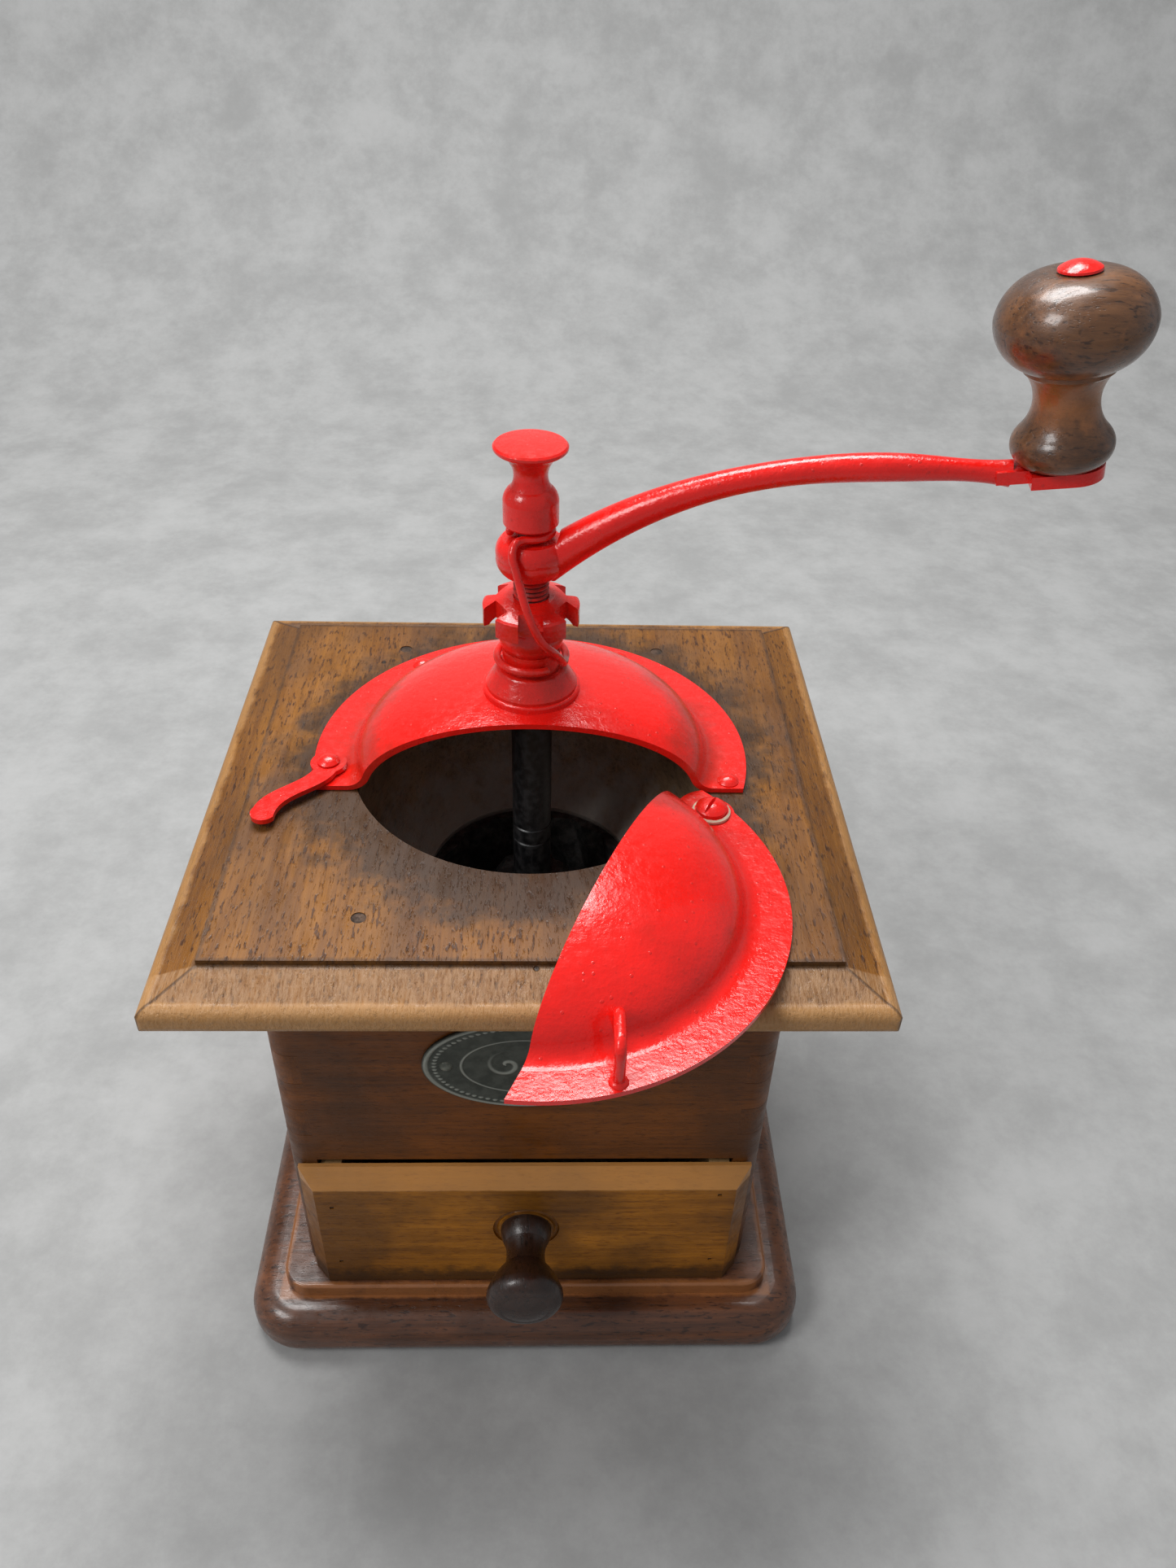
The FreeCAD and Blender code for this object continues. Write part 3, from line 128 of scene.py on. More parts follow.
def noise(tree, vector, scale, detail=3.0, roughness=0.55, distortion=0.0):
    """Smooth cloudy noise, from 0 to 1."""
    values = {
        "Vector": vector, "Scale": scale, "Detail": detail, "Roughness": roughness, "Distortion": distortion,
    }
    return add(tree, "ShaderNodeTexNoise", values).outputs[0]


def parts_of(tree, vector):
    """The X, Y and Z of a position."""
    return add(tree, "ShaderNodeSeparateXYZ", {0: vector}).outputs


def new_group(name, inputs, outputs):
    """An empty node group with named sockets. Returns its tree, its input node and its output node."""
    tree = bpy.data.node_groups.new(name, "ShaderNodeTree")
    kinds = {"vector": "NodeSocketVector", "value": "NodeSocketFloat", "colour": "NodeSocketColor"}
    for label, kind, start in inputs:
        socket = tree.interface.new_socket(label, in_out="INPUT", socket_type=kinds[kind])
        if start is not None:
            socket.default_value = start
    for label, kind in outputs:
        tree.interface.new_socket(label, in_out="OUTPUT", socket_type=kinds[kind])
    return tree, tree.nodes.new("NodeGroupInput").outputs, tree.nodes.new("NodeGroupOutput").inputs


def use(tree, group, values):
    """Places a group in a material and fills its inputs."""
    node = tree.nodes.new("ShaderNodeGroup")
    node.node_tree = group
    for name, value in values.items():
        if isinstance(value, bpy.types.NodeSocket):
            tree.links.new(value, node.inputs[name])
        else:
            node.inputs[name].default_value = value
    return node.outputs


# %% [markdown]
# ## Beech figure
# Beech has long soft tone bands, fine streaks along the grain, and short dark flecks, the rays.
# All three are noise stretched along the grain by different amounts. The group works on a position
# whose Y axis runs along the grain, and each board turns its own position to suit.


# %% Beech figure group
def make_beech():
    """Tone is bands plus streaks; the flecks are the peaks of a short stretched noise."""
    tree, given, result = new_group(
        "beech_figure",
        [("Vector", "vector", None), ("Pale", "colour", None), ("Dark", "colour", None),
         ("Fleck", "value", 0.5)],
        [("Color", "colour"), ("Height", "value"), ("Tone", "value")],
    )
    bands = noise(tree, stretched(tree, given["Vector"], (1.0, 0.10, 1.0)), 0.09, 5.0, 0.6, 0.8)
    streaks = noise(tree, stretched(tree, given["Vector"], (1.0, 0.035, 1.0)), 0.95, 6.0, 0.68)
    pores = noise(tree, stretched(tree, given["Vector"], (1.0, 0.14, 1.0)), 3.2, 2.0, 0.5)
    rays = noise(tree, stretched(tree, given["Vector"], (1.0, 0.22, 1.0)), 1.25, 2.0, 0.55)
    fleck = maths(tree, "MULTIPLY", ramp(tree, rays, 0.56, 0.68), given["Fleck"])
    tone = maths(tree, "ADD", maths(tree, "MULTIPLY", bands, 0.55), maths(tree, "MULTIPLY", streaks, 0.45))
    spread = ramp(tree, tone, 0.30, 0.68)
    colour = blend(tree, spread, given["Dark"], given["Pale"])
    colour = blend(tree, fleck, colour, given["Dark"], "MULTIPLY")
    pore_mask = ramp(tree, pores, 0.60, 0.74, 0.0, 0.45)
    colour = blend(tree, pore_mask, colour, given["Dark"], "MULTIPLY")
    rough = maths(tree, "SUBTRACT", maths(tree, "MULTIPLY", streaks, 0.6), maths(tree, "MULTIPLY", fleck, 0.35))
    tree.links.new(colour, result["Color"])
    tree.links.new(maths(tree, "SUBTRACT", rough, pore_mask), result["Height"])
    tree.links.new(spread, result["Tone"])
    return tree


beech = make_beech()

# %% [markdown]
# ## Ragged edges
# Wear and dirt have no clean border. This group takes a mask that says how near a place is to an
# arris or a corner, and tears its border with noise, so the result is patchy like the real thing.


# %% Ragged mask group
def make_ragged():
    """The mask plus centred noise, cut by a smooth step."""
    tree, given, result = new_group(
        "ragged_mask",
        [("Vector", "vector", None), ("Closeness", "value", 0.5), ("Size", "value", 0.3),
         ("Tear", "value", 0.8), ("Softness", "value", 0.2)],
        [("Mask", "value")],
    )
    cloud = noise(tree, stretched(tree, given["Vector"], EVEN), given["Size"], 6.0, 0.65)
    centred = maths(tree, "MULTIPLY", maths(tree, "SUBTRACT", cloud, 0.5), given["Tear"])
    total = maths(tree, "ADD", given["Closeness"], maths(tree, "MULTIPLY", centred, 2.0))
    high = maths(tree, "ADD", given["Softness"], 0.5)
    low = maths(tree, "SUBTRACT", 0.5, given["Softness"])
    tree.links.new(ramp(tree, total, low, high), result["Mask"])
    return tree


ragged = make_ragged()

# %% [markdown]
# ## Specks
# Old paint holds dust nibs and tiny pits, and old wood has worm holes and specks. Both are the
# cells of a Voronoi pattern: a round dot at some of the cell centres, chosen by the cell's colour.


# %% Speck group
def make_specks():
    """A dot where the distance to the cell centre is small and the cell's random number is high."""
    tree, given, result = new_group(
        "specks",
        [("Vector", "vector", None), ("Spacing", "value", 0.2), ("Share", "value", 0.3),
         ("Radius", "value", 0.25)],
        [("Mask", "value")],
    )
    place = stretched(tree, given["Vector"], EVEN)
    cells = add(tree, "ShaderNodeTexVoronoi", {"Vector": place, "Scale": given["Spacing"], "Randomness": 1.0})
    chance = parts_of(tree, cells.outputs["Color"])[0]
    chosen = maths(tree, "LESS_THAN", chance, given["Share"])
    core = maths(tree, "MULTIPLY", given["Radius"], 0.6)
    dot = ramp(tree, cells.outputs["Distance"], core, given["Radius"], 1.0, 0.0)
    tree.links.new(maths(tree, "MULTIPLY", dot, chosen), result["Mask"])
    return tree


specks = make_specks()

# %% [markdown]
# ## Distance from the edge of a square board
# The top and base boards are worn and stained in rings that follow their outline. The distance in
# from the nearest side is the smaller of the two half sizes less the position's own size.


# %% Square inset group
def make_inset():
    """The smaller of half width minus |x| and half depth minus |y|; Mitre is their difference."""
    tree, given, result = new_group(
        "square_inset",
        [("Vector", "vector", None), ("Half X", "value", 0.05), ("Half Y", "value", 0.05)],
        [("Inset", "value"), ("Mitre", "value")],
    )
    x, y, _ = parts_of(tree, given["Vector"])
    from_x = maths(tree, "SUBTRACT", given["Half X"], maths(tree, "ABSOLUTE", x))
    from_y = maths(tree, "SUBTRACT", given["Half Y"], maths(tree, "ABSOLUTE", y))
    tree.links.new(maths(tree, "MINIMUM", from_x, from_y), result["Inset"])
    difference = maths(tree, "SUBTRACT", from_x, from_y)
    tree.links.new(maths(tree, "ABSOLUTE", difference), result["Mitre"])
    return tree


square_inset = make_inset()

# %% [markdown]
# ## Distance from the spindle
# The hopper, its cover and the grease round them are round. This group gives the level distance
# from the spindle's axis, and the height.


# %% Round distance group
def level_distance(tree, vector, x, y):
    """How far a position is from an upright line through (x, y)."""
    values = {"Vector": vector, "Location": (-x, -y, 0.0), "Scale": (1, 1, 0)}
    shift = add(tree, "ShaderNodeMapping", values)
    return add(tree, "ShaderNodeVectorMath", {0: shift.outputs[0]}, operation="LENGTH").outputs["Value"]


def make_round():
    """The length of (x, y) measured from the spindle's axis."""
    tree, given, result = new_group(
        "spindle_distance", [("Vector", "vector", None)], [("Radius", "value"), ("Height", "value")],
    )
    tree.links.new(level_distance(tree, given["Vector"], AXIS_X, AXIS_Y), result["Radius"])
    tree.links.new(parts_of(tree, given["Vector"])[2], result["Height"])
    return tree


spindle_distance = make_round()


# %% [markdown]
# ## Starting a material
# Each finish starts with object coordinates, which are the mill's own millimetres and never slide,
# and a Principled shader, and ends with a bump from its height.


# %% Material start and finish
def start(name, **constants):
    """A new material. Returns its tree, its object coordinates and its Principled shader."""
    material = bpy.data.materials.new(name)
    material.use_nodes = True
    tree = material.node_tree
    tree.nodes.clear()
    values = {key.replace("_", " "): value for key, value in constants.items()}
    shader = add(tree, "ShaderNodeBsdfPrincipled", values)
    output = add(tree, "ShaderNodeOutputMaterial")
    tree.links.new(shader.outputs[0], output.inputs["Surface"])
    place = add(tree, "ShaderNodeTexCoord").outputs["Object"]
    return material, tree, place, shader


def finish_surface(tree, shader, colour, roughness=None, height=None, depth=0.0002, strength=1.0):
    """Joins the colour, roughness and bump to the shader. Depth is the bump's size in metres."""
    tree.links.new(colour, shader.inputs["Base Color"])
    if roughness is not None:
        tree.links.new(roughness, shader.inputs["Roughness"])
    if height is not None:
        bump = add(tree, "ShaderNodeBump", {"Height": height, "Distance": depth, "Strength": strength})
        tree.links.new(bump.outputs[0], shader.inputs["Normal"])


def torn(tree, place, closeness, size, tear, softness):
    """A closeness mask with a torn border."""
    values = {"Vector": place, "Closeness": closeness, "Size": size, "Tear": tear, "Softness": softness}
    return use(tree, ragged, values)["Mask"]


def lay(tree, mask, strength, under, over):
    """Lays a colour over another where the mask is, at a strength."""
    return blend(tree, maths(tree, "MULTIPLY", mask, strength), under, over)


def sheen(tree, place, scale, detail, smooth, dull):
    """A roughness that drifts between two values."""
    return ramp(tree, noise(tree, stretched(tree, place, EVEN), scale, detail), 0.3, 0.7, smooth, dull)


def grain_along(tree, place, axis):
    """Turns a position so that its Y runs along the given axis."""
    turn = {"x": (0, 0, math.pi / 2), "y": (0, 0, 0), "z": (math.pi / 2, 0, 0)}[axis]
    return add(tree, "ShaderNodeMapping", {"Vector": place, "Rotation": turn}).outputs[0]


# %% [markdown]
# ## The top board's finish
# Golden waxed beech, worn pale on the bevel, with black dirt in the groove at the foot of the
# bevel, and dark grease from years of beans round the hopper and its cover.


# %% Top board finish
BEVEL = 0.0105
HOPPER_REACH = 0.043
GREASE_REACH = 0.072
WORM_HOLE = (0.02, 0.01, 0.006, 1)


def top_wood():
    """Beech, then a stain by radius from the spindle, dirt and wear by inset from the edge."""
    material, tree, place, shader = start("top_wood", Coat_Roughness=0.22, Specular_IOR_Level=0.38)
    figure = use(tree, beech, {
        "Vector": grain_along(tree, place, "y"), "Fleck": 0.75,
        "Pale": (0.27, 0.105, 0.011, 1), "Dark": (0.11, 0.036, 0.004, 1),
    })
    ring = use(tree, square_inset, {"Vector": place, "Half X": top_high.x, "Half Y": top_high.y})
    spot = use(tree, spindle_distance, {"Vector": place})
    cloud = noise(tree, stretched(tree, place, (1, 0.6, 1)), 0.035, 4.0)
    blotches = ramp(tree, cloud, 0.40, 0.64, 0.0, 0.62)
    colour = blend(tree, blotches, figure["Color"], (0.085, 0.034, 0.009, 1))
    near = ramp(tree, spot["Radius"], HOPPER_REACH, GREASE_REACH, 1.0, 0.0)
    grease = torn(tree, place, near, 0.11, 0.85, 0.34)
    colour = lay(tree, grease, 0.85, colour, (0.030, 0.014, 0.006, 1))
    on_bevel = ramp(tree, ring["Inset"], BEVEL - 0.0010, BEVEL - 0.0002, 1.0, 0.0)
    strokes = noise(tree, stretched(tree, place, (2.4, 0.35, 1)), 0.7, 4.0, 0.7)
    front_edge = top_low.y + BEVEL
    front = ramp(tree, parts_of(tree, place)[1], front_edge - 0.0005, front_edge + 0.0001, 1.0, 0.0)
    rubbed = maths(tree, "MULTIPLY", front, ramp(tree, strokes, 0.30, 0.66, 0.10, 0.75))
    colour = blend(tree, rubbed, colour, (0.37, 0.215, 0.11, 1))
    groove = maths(tree, "ABSOLUTE", maths(tree, "SUBTRACT", ring["Inset"], BEVEL))
    dirt = torn(tree, place, ramp(tree, groove, 0.0001, 0.0016, 0.72, 0.0), 0.22, 0.7, 0.4)
    colour = lay(tree, dirt, 0.7, colour, (0.045, 0.020, 0.008, 1))
    worn = torn(tree, place, ramp(tree, ring["Inset"], 0.0004, 0.0050, 1.0, 0.0), 0.16, 0.6, 0.3)
    colour = lay(tree, worn, 0.5, colour, (0.50, 0.26, 0.09, 1))
    mitre = maths(tree, "MULTIPLY", ramp(tree, ring["Mitre"], 0.0001, 0.0008, 1.0, 0.0), on_bevel)
    colour = lay(tree, mitre, 0.7, colour, (0.04, 0.018, 0.008, 1))
    holes = use(tree, specks, {"Vector": place, "Spacing": 0.075, "Share": 0.28, "Radius": 0.055})["Mask"]
    colour = lay(tree, holes, 0.9, colour, WORM_HOLE)
    rough = ramp(tree, noise(tree, stretched(tree, place, (1, 0.3, 1)), 0.3, 5.0), 0.3, 0.7, 0.30, 0.52)
    height = maths(tree, "SUBTRACT", figure["Height"], maths(tree, "MULTIPLY", holes, 3.0))
    scratches = maths(tree, "MULTIPLY", maths(tree, "MULTIPLY", strokes, on_bevel), 1.5)
    finish_surface(tree, shader, colour, rough, maths(tree, "ADD", height, scratches), 0.00026, 0.6)
    return material


# %% [markdown]
# ## The case and the drawer
# The box boards have the same beech under a darker varnish. Dirt gathers where a board meets the
# base, painted shade darkens each board just under the top board, and the drawer's bevels are worn pale.


# %% Box board finishes
def box_wood(name, axis, pale, dark, stain=(0.040, 0.015, 0.004, 1), wear=None):
    """Beech along one axis, darker towards the foot, with painted shade just under the top board. Wear is a
    function that gives a closeness mask.
    """
    material, tree, place, shader = start(name, Coat_Roughness=0.2, Specular_IOR_Level=0.3)
    values = {"Vector": grain_along(tree, place, axis), "Pale": pale, "Dark": dark, "Fleck": 0.35}
    figure = use(tree, beech, values)
    cloud = noise(tree, stretched(tree, place, EVEN), 0.03, 4.0)
    colour = blend(tree, ramp(tree, cloud, 0.40, 0.66, 0.0, 0.6), figure["Color"], stain)
    height = parts_of(tree, place)[2]
    foot = ramp(tree, height, base_high.z, base_high.z + 0.012, 0.9, 0.0)
    colour = lay(tree, torn(tree, place, foot, 0.2, 0.5, 0.3), 0.8, colour, (0.025, 0.012, 0.006, 1))
    # Painted shade: the top 10 mm of each board is darkened smoothly, as if shaded by the top board above it.
    under = ramp(tree, height, case_high.z - 0.010, case_high.z, 0.0, 0.7)
    colour = blend(tree, under, colour, (0.03, 0.014, 0.006, 1))
    if wear is not None:
        rubbed = torn(tree, place, wear(tree, place), 0.2, 0.5, 0.3)
        colour = lay(tree, rubbed, 0.6, colour, (0.58, 0.28, 0.09, 1))
    holes = use(tree, specks, {"Vector": place, "Spacing": 0.09, "Share": 0.3, "Radius": 0.06})["Mask"]
    colour = lay(tree, holes, 0.9, colour, WORM_HOLE)
    rough = sheen(tree, place, 0.25, 4.0, 0.30, 0.50)
    finish_surface(tree, shader, colour, rough, figure["Height"], 0.0002, 0.45)
    return material


def drawer_wear(tree, place):
    """The drawer's top bevel is rubbed pale by hands."""
    height = parts_of(tree, place)[2]
    return ramp(tree, height, drawer_high.z - 0.0046, drawer_high.z - 0.0036, 0.0, 0.85)


# %% [markdown]
# ## Dark turned wood
# The base, the drawer knob and the crank handle are stained nearly black-brown and polished by
# hands, with the orange of bare wood where they rub.


# %% Dark wood finish
def neck_wear(tree, place):
    """The crank handle's stain is rubbed off its neck and the foot of its head."""
    low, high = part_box("handle_knob")
    neck = low.z + 0.42 * (high.z - low.z)
    off = maths(tree, "ABSOLUTE", maths(tree, "SUBTRACT", parts_of(tree, place)[2], neck))
    return ramp(tree, off, 0.001, 0.009, 0.70, 0.22)


def dark_wood(name, axis, pale, dark, gloss, wear=None):
    """Beech stained dark. Wear is a function that gives a closeness mask from the tree and position."""
    material, tree, place, shader = start(name, Coat_Roughness=0.15, Coat_Weight=gloss, Specular_IOR_Level=0.5)
    values = {"Vector": grain_along(tree, place, axis), "Pale": pale, "Dark": dark, "Fleck": 0.7}
    figure = use(tree, beech, values)
    cloud = noise(tree, stretched(tree, place, EVEN), 0.06, 4.0)
    colour = blend(tree, ramp(tree, cloud, 0.4, 0.7, 0.0, 0.6), figure["Color"], dark)
    if wear is not None:
        rubbed = torn(tree, place, wear(tree, place), 0.25, 0.6, 0.3)
        colour = lay(tree, rubbed, 0.75, colour, (0.36, 0.13, 0.035, 1))
    rough = sheen(tree, place, 0.3, 5.0, 0.26, 0.46)
    finish_surface(tree, shader, colour, rough, figure["Height"], 0.0002, 0.5)
    return material


def base_wear(tree, place):
    """The base wears along the top of its bead."""
    ring = use(tree, square_inset, {"Vector": place, "Half X": base_high.x, "Half Y": base_high.y})
    off = maths(tree, "ABSOLUTE", maths(tree, "SUBTRACT", ring["Inset"], 0.0095))
    return ramp(tree, off, 0.0003, 0.0022, 0.75, 0.0)


# %% [markdown]
# ## Red paint
# Thick enamel brushed on over old metal: bright red, glossy, with faint brush ripples, dust nibs
# and a brown wash of old coffee in the corners. The ripples are in the bump, the wash in the colour.


# %% Red paint finish
def red_paint(name, wash=None, chips=None, base=(0.85, 0.010, 0.006, 1)):
    """Enamel red. Wash and chips are functions that give closeness masks for brown dirt and bare primer."""
    material, tree, place, shader = start(name, Coat_Weight=0.3, Coat_Roughness=0.08, Specular_IOR_Level=0.45)
    cloud = noise(tree, stretched(tree, place, EVEN), 0.06, 5.0)
    colour = blend(tree, ramp(tree, cloud, 0.35, 0.7, 0.0, 0.5), base, (0.64, 0.007, 0.004, 1))
    fine = noise(tree, stretched(tree, place, EVEN), 1.4, 4.0, 0.6)
    colour = blend(tree, ramp(tree, fine, 0.56, 0.74, 0.0, 0.4), colour, (0.46, 0.008, 0.005, 1))
    if wash is not None:
        grime = torn(tree, place, wash(tree, place), 0.12, 0.8, 0.4)
        colour = lay(tree, grime, 0.45, colour, (0.16, 0.022, 0.009, 1))
    if chips is not None:
        chipped = torn(tree, place, chips(tree, place), 0.5, 0.6, 0.12)
        colour = blend(tree, chipped, colour, (0.62, 0.52, 0.38, 1))
    nibs = use(tree, specks, {"Vector": place, "Spacing": 0.55, "Share": 0.3, "Radius": 0.22})["Mask"]
    colour = lay(tree, nibs, 0.25, colour, (0.30, 0.02, 0.015, 1))
    ripple = noise(tree, stretched(tree, place, EVEN), 0.35, 3.0)
    rise = maths(tree, "ADD", maths(tree, "MULTIPLY", ripple, 1.4), maths(tree, "MULTIPLY", fine, 0.35))
    rise = maths(tree, "ADD", rise, maths(tree, "MULTIPLY", nibs, 0.5))
    rough = sheen(tree, place, 0.5, 4.0, 0.16, 0.32)
    finish_surface(tree, shader, colour, rough, rise, 0.00026, 0.55)
    return material


def dome_wash(tree, place):
    """Brown dirt lies where the dome meets its flange."""
    spot = use(tree, spindle_distance, {"Vector": place})
    off = maths(tree, "ABSOLUTE", maths(tree, "SUBTRACT", spot["Radius"], 0.040))
    return ramp(tree, off, 0.0005, 0.012, 0.75, 0.05)


def fitting_wash(tree, place):
    """Old grease darkens the paint low on the boss and under the crank's hub."""
    height = parts_of(tree, place)[2]
    return ramp(tree, height, boss_high.z - 0.002, boss_high.z + 0.022, 0.50, 0.25)


def washer_chips(tree, place):
    """The cover rubs the paint off the washer's rim."""
    low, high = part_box("cover_pivot_washer")
    centre = (low + high) / 2
    away = level_distance(tree, place, centre.x, centre.y)
    reach = (high.x - low.x) / 2
    return ramp(tree, away, 0.78 * reach, 0.98 * reach, 0.0, 0.85)


# %% [markdown]
# ## Bare and blackened metal
# The spindle and burrs are cast and forged iron, black with oil. The screws are dull steel, and
# the small plate is grey tarnished sheet.


# %% Metal finish
def iron(name, colour_low, colour_high, rough_low, rough_high, metallic, grain=0.35, depth=0.0003):
    """Two greys mixed by noise, with the same noise as the bump."""
    material, tree, place, shader = start(name, Metallic=metallic)
    cloud = noise(tree, stretched(tree, place, EVEN), grain, 6.0, 0.62)
    fine = noise(tree, stretched(tree, place, EVEN), grain * 6.0, 3.0)
    colour = blend(tree, ramp(tree, cloud, 0.35, 0.68), colour_low, colour_high)
    rough = ramp(tree, fine, 0.3, 0.7, rough_low, rough_high)
    height = maths(tree, "ADD", cloud, maths(tree, "MULTIPLY", fine, 0.4))
    finish_surface(tree, shader, colour, rough, height, depth, 0.5)
    return material


# %% [markdown]
# ## The spindle
# One forged rod has two finishes: the paint brush reached the thread above the cover, and what is
# below it is black with oil. The height decides which one shows.


# %% Spindle finish
def spindle_finish():
    """Black iron below the boss, red enamel with dark thread roots above it."""
    material, tree, place, shader = start("spindle_steel", Specular_IOR_Level=0.5)
    cloud = noise(tree, stretched(tree, place, EVEN), 0.5, 5.0)
    black = blend(tree, ramp(tree, cloud, 0.35, 0.7), (0.006, 0.006, 0.007, 1), (0.03, 0.03, 0.032, 1))
    red = blend(tree, ramp(tree, cloud, 0.4, 0.7), (0.60, 0.012, 0.006, 1), (0.22, 0.012, 0.008, 1))
    spot = use(tree, spindle_distance, {"Vector": place})
    red = blend(tree, ramp(tree, spot["Radius"], 0.00345, 0.00375, 0.85, 0.0), red, (0.05, 0.008, 0.006, 1))
    above = maths(tree, "GREATER_THAN", spot["Height"], boss_low.z + 0.008)
    colour = blend(tree, above, black, red)
    finish_surface(tree, shader, colour, ramp(tree, cloud, 0.3, 0.7, 0.28, 0.5), cloud, 0.0003, 0.5)
    return material


# %% [markdown]
# ## The hopper
# The bowl turned in the wood is black-brown with oil, scuffed grey by beans lower down. Its wood
# colours are painted far paler than that: painted light standing in for the light the covers keep out of the
# bowl.


# %% Hopper finish
def hopper_wood():
    """Beech painted far paler than the oily black-brown bowl, as painted light for its shade, with grey scuffs
    that grow towards the bottom of the bowl.
    """
    material, tree, place, shader = start("hopper_wood", Specular_IOR_Level=0.5)
    # Painted light: these wood colours are much paler than the oily bowl, to stand in for light that the covers
    # keep out of it.
    figure = use(tree, beech, {
        "Vector": grain_along(tree, place, "y"), "Fleck": 0.4,
        "Pale": (0.36, 0.24, 0.14, 1), "Dark": (0.14, 0.09, 0.05, 1),
    })
    low = ramp(tree, parts_of(tree, place)[2], 0.104, 0.128, 0.75, 0.12)
    scuff = torn(tree, place, low, 0.16, 0.8, 0.35)
    colour = lay(tree, scuff, 0.7, figure["Color"], (0.34, 0.33, 0.31, 1))
    rough = sheen(tree, place, 0.4, 4.0, 0.35, 0.6)
    finish_surface(tree, shader, colour, rough, figure["Height"], 0.0003, 0.6)
    return material


# %% [markdown]
# ## Dressing the frame
# Each part of the measured model keeps its shape and takes the finish of its material slot.


# %% Finishes by slot
GOLD, UMBER = (0.21, 0.058, 0.003, 1), (0.08, 0.022, 0.002, 1)
AMBER, CHESTNUT = (0.50, 0.185, 0.012, 1), (0.21, 0.070, 0.004, 1)
BARE, BARE_BAND, BARE_STAIN = (0.50, 0.31, 0.14, 1), (0.33, 0.19, 0.08, 1), (0.22, 0.12, 0.05, 1)
WALNUT, WALNUT_BAND = (0.19, 0.078, 0.026, 1), (0.05, 0.019, 0.008, 1)
finishes = {
    "top_wood": top_wood(),
    "case_wood": box_wood("case_wood", "x", GOLD, UMBER),
    "side_wood": box_wood("side_wood", "y", GOLD, UMBER),
    "drawer_wood": box_wood("drawer_wood", "x", AMBER, CHESTNUT, wear=drawer_wear),
    "inner_wood": box_wood("inner_wood", "y", BARE, BARE_BAND, BARE_STAIN),
    "hopper_wood": hopper_wood(),
    "base_wood": dark_wood("base_wood", "x", (0.20, 0.068, 0.024, 1), (0.055, 0.020, 0.009, 1), 0.4, base_wear),
    "knob_wood": dark_wood("knob_wood", "y", (0.04, 0.015, 0.008, 1), (0.014, 0.006, 0.004, 1), 0.2),
    "handle_wood": dark_wood("handle_wood", "x", WALNUT, WALNUT_BAND, 0.5, neck_wear),
    "cover_paint": red_paint("cover_paint", dome_wash),
    "washer_paint": red_paint("washer_paint", chips=washer_chips),
    "fitting_paint": red_paint("fitting_paint", fitting_wash),
    "crank_paint": red_paint("crank_paint"),
    "steel": iron("steel", (0.22, 0.21, 0.20, 1), (0.42, 0.41, 0.39, 1), 0.3, 0.5, 0.9),
    "iron": iron("iron", (0.03, 0.02, 0.015, 1), (0.10, 0.06, 0.04, 1), 0.5, 0.8, 0.6),
    "plate_metal": iron("plate_metal", (0.10, 0.105, 0.085, 1), (0.24, 0.25, 0.21, 1), 0.35, 0.6, 0.7),
    "spindle_steel": spindle_finish(),
    "burr_iron": iron("burr_iron", (0.05, 0.05, 0.05, 1), (0.16, 0.155, 0.15, 1), 0.4, 0.7, 0.85),
}
slot_of = {entry["node"]: entry["material_slot"] for entry in frame["record"]["subparts"]}
for name, node in frame["nodes"].items():
    chosen = slot_of[name]
    if name in ("case_left", "case_right"):
        chosen = "side_wood"
    node.data.materials.clear()
    node.data.materials.append(finishes[chosen])
print("finishes:", len(finishes))

# %% [markdown]
# ## Making meshes from arrays
# New pieces are grids of points, worked out as whole arrays. One function turns such a grid into a
# mesh, joins its ends where the shape closes on itself, and fills the two open ends if asked.


# %% Grid to mesh
def grid_piece(name, points, body, material, wrap_rows=False, wrap_columns=True, caps=False):
    """Faces join each point to its neighbours in the next row and column; caps are one face each."""
    rows, columns = points.shape[:2]
    index = np.arange(rows * columns).reshape(rows, columns)
    if wrap_rows:
        index = np.concatenate([index, index[:1]], 0)
    if wrap_columns:
        index = np.concatenate([index, index[:, :1]], 1)
    quads = np.stack([index[:-1, :-1], index[:-1, 1:], index[1:, 1:], index[1:, :-1]], -1).reshape(-1, 4)
    faces = quads.tolist()
    if caps:
        faces += [index[0, :columns][::-1].tolist(), index[-1, :columns].tolist()]
    mesh = bpy.data.meshes.new(name)
    mesh.from_pydata(points.reshape(-1, 3).tolist(), [], faces)
    mesh.shade_smooth()
    piece = bpy.data.objects.new(name, mesh)
    bpy.context.scene.collection.objects.link(piece)
    mesh.materials.append(material)
    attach(piece, body)
    return piece


def outward(piece):
    """Turns every face outwards on a closed piece."""
    shell = bmesh.new()
    shell.from_mesh(piece.data)
    bmesh.ops.recalc_face_normals(shell, faces=shell.faces)
    shell.to_mesh(piece.data)
    shell.free()
    print(piece.name, len(piece.data.polygons), "faces")
    return piece


def tube(path, side, radius, count=20):
    """A round bar: circles square to the path, spanned by a side vector and its cross product."""
    ahead = np.gradient(path, axis=0)
    ahead /= np.linalg.norm(ahead, axis=1, keepdims=True)
    side = side - ahead * np.sum(side * ahead, 1, keepdims=True)
    side /= np.linalg.norm(side, axis=1, keepdims=True)
    other = np.cross(ahead, side)
    turn = np.linspace(0, 2 * math.pi, count, endpoint=False)[None, :, None]
    radius = np.broadcast_to(np.asarray(radius, float), (len(path),))[:, None, None]
    return path[:, None] + radius * (np.cos(turn) * side[:, None] + np.sin(turn) * other[:, None])


def smoothed(values, width):
    """A running average with soft shoulders, which rounds the corners of a row of values."""
    window = np.hanning(width + 2)[1:-1]
    padded = np.pad(values, width // 2, mode="edge")
    return np.convolve(padded, window / window.sum(), mode="valid")[: len(values)]


# %% [markdown]
# ## The locking wire
# A springy wire has an eye round the spindle above the crank, runs down past the star nut, and ends
# in a ring round the neck of the boss. It is drawn in cylinder coordinates: radius, angle and height.


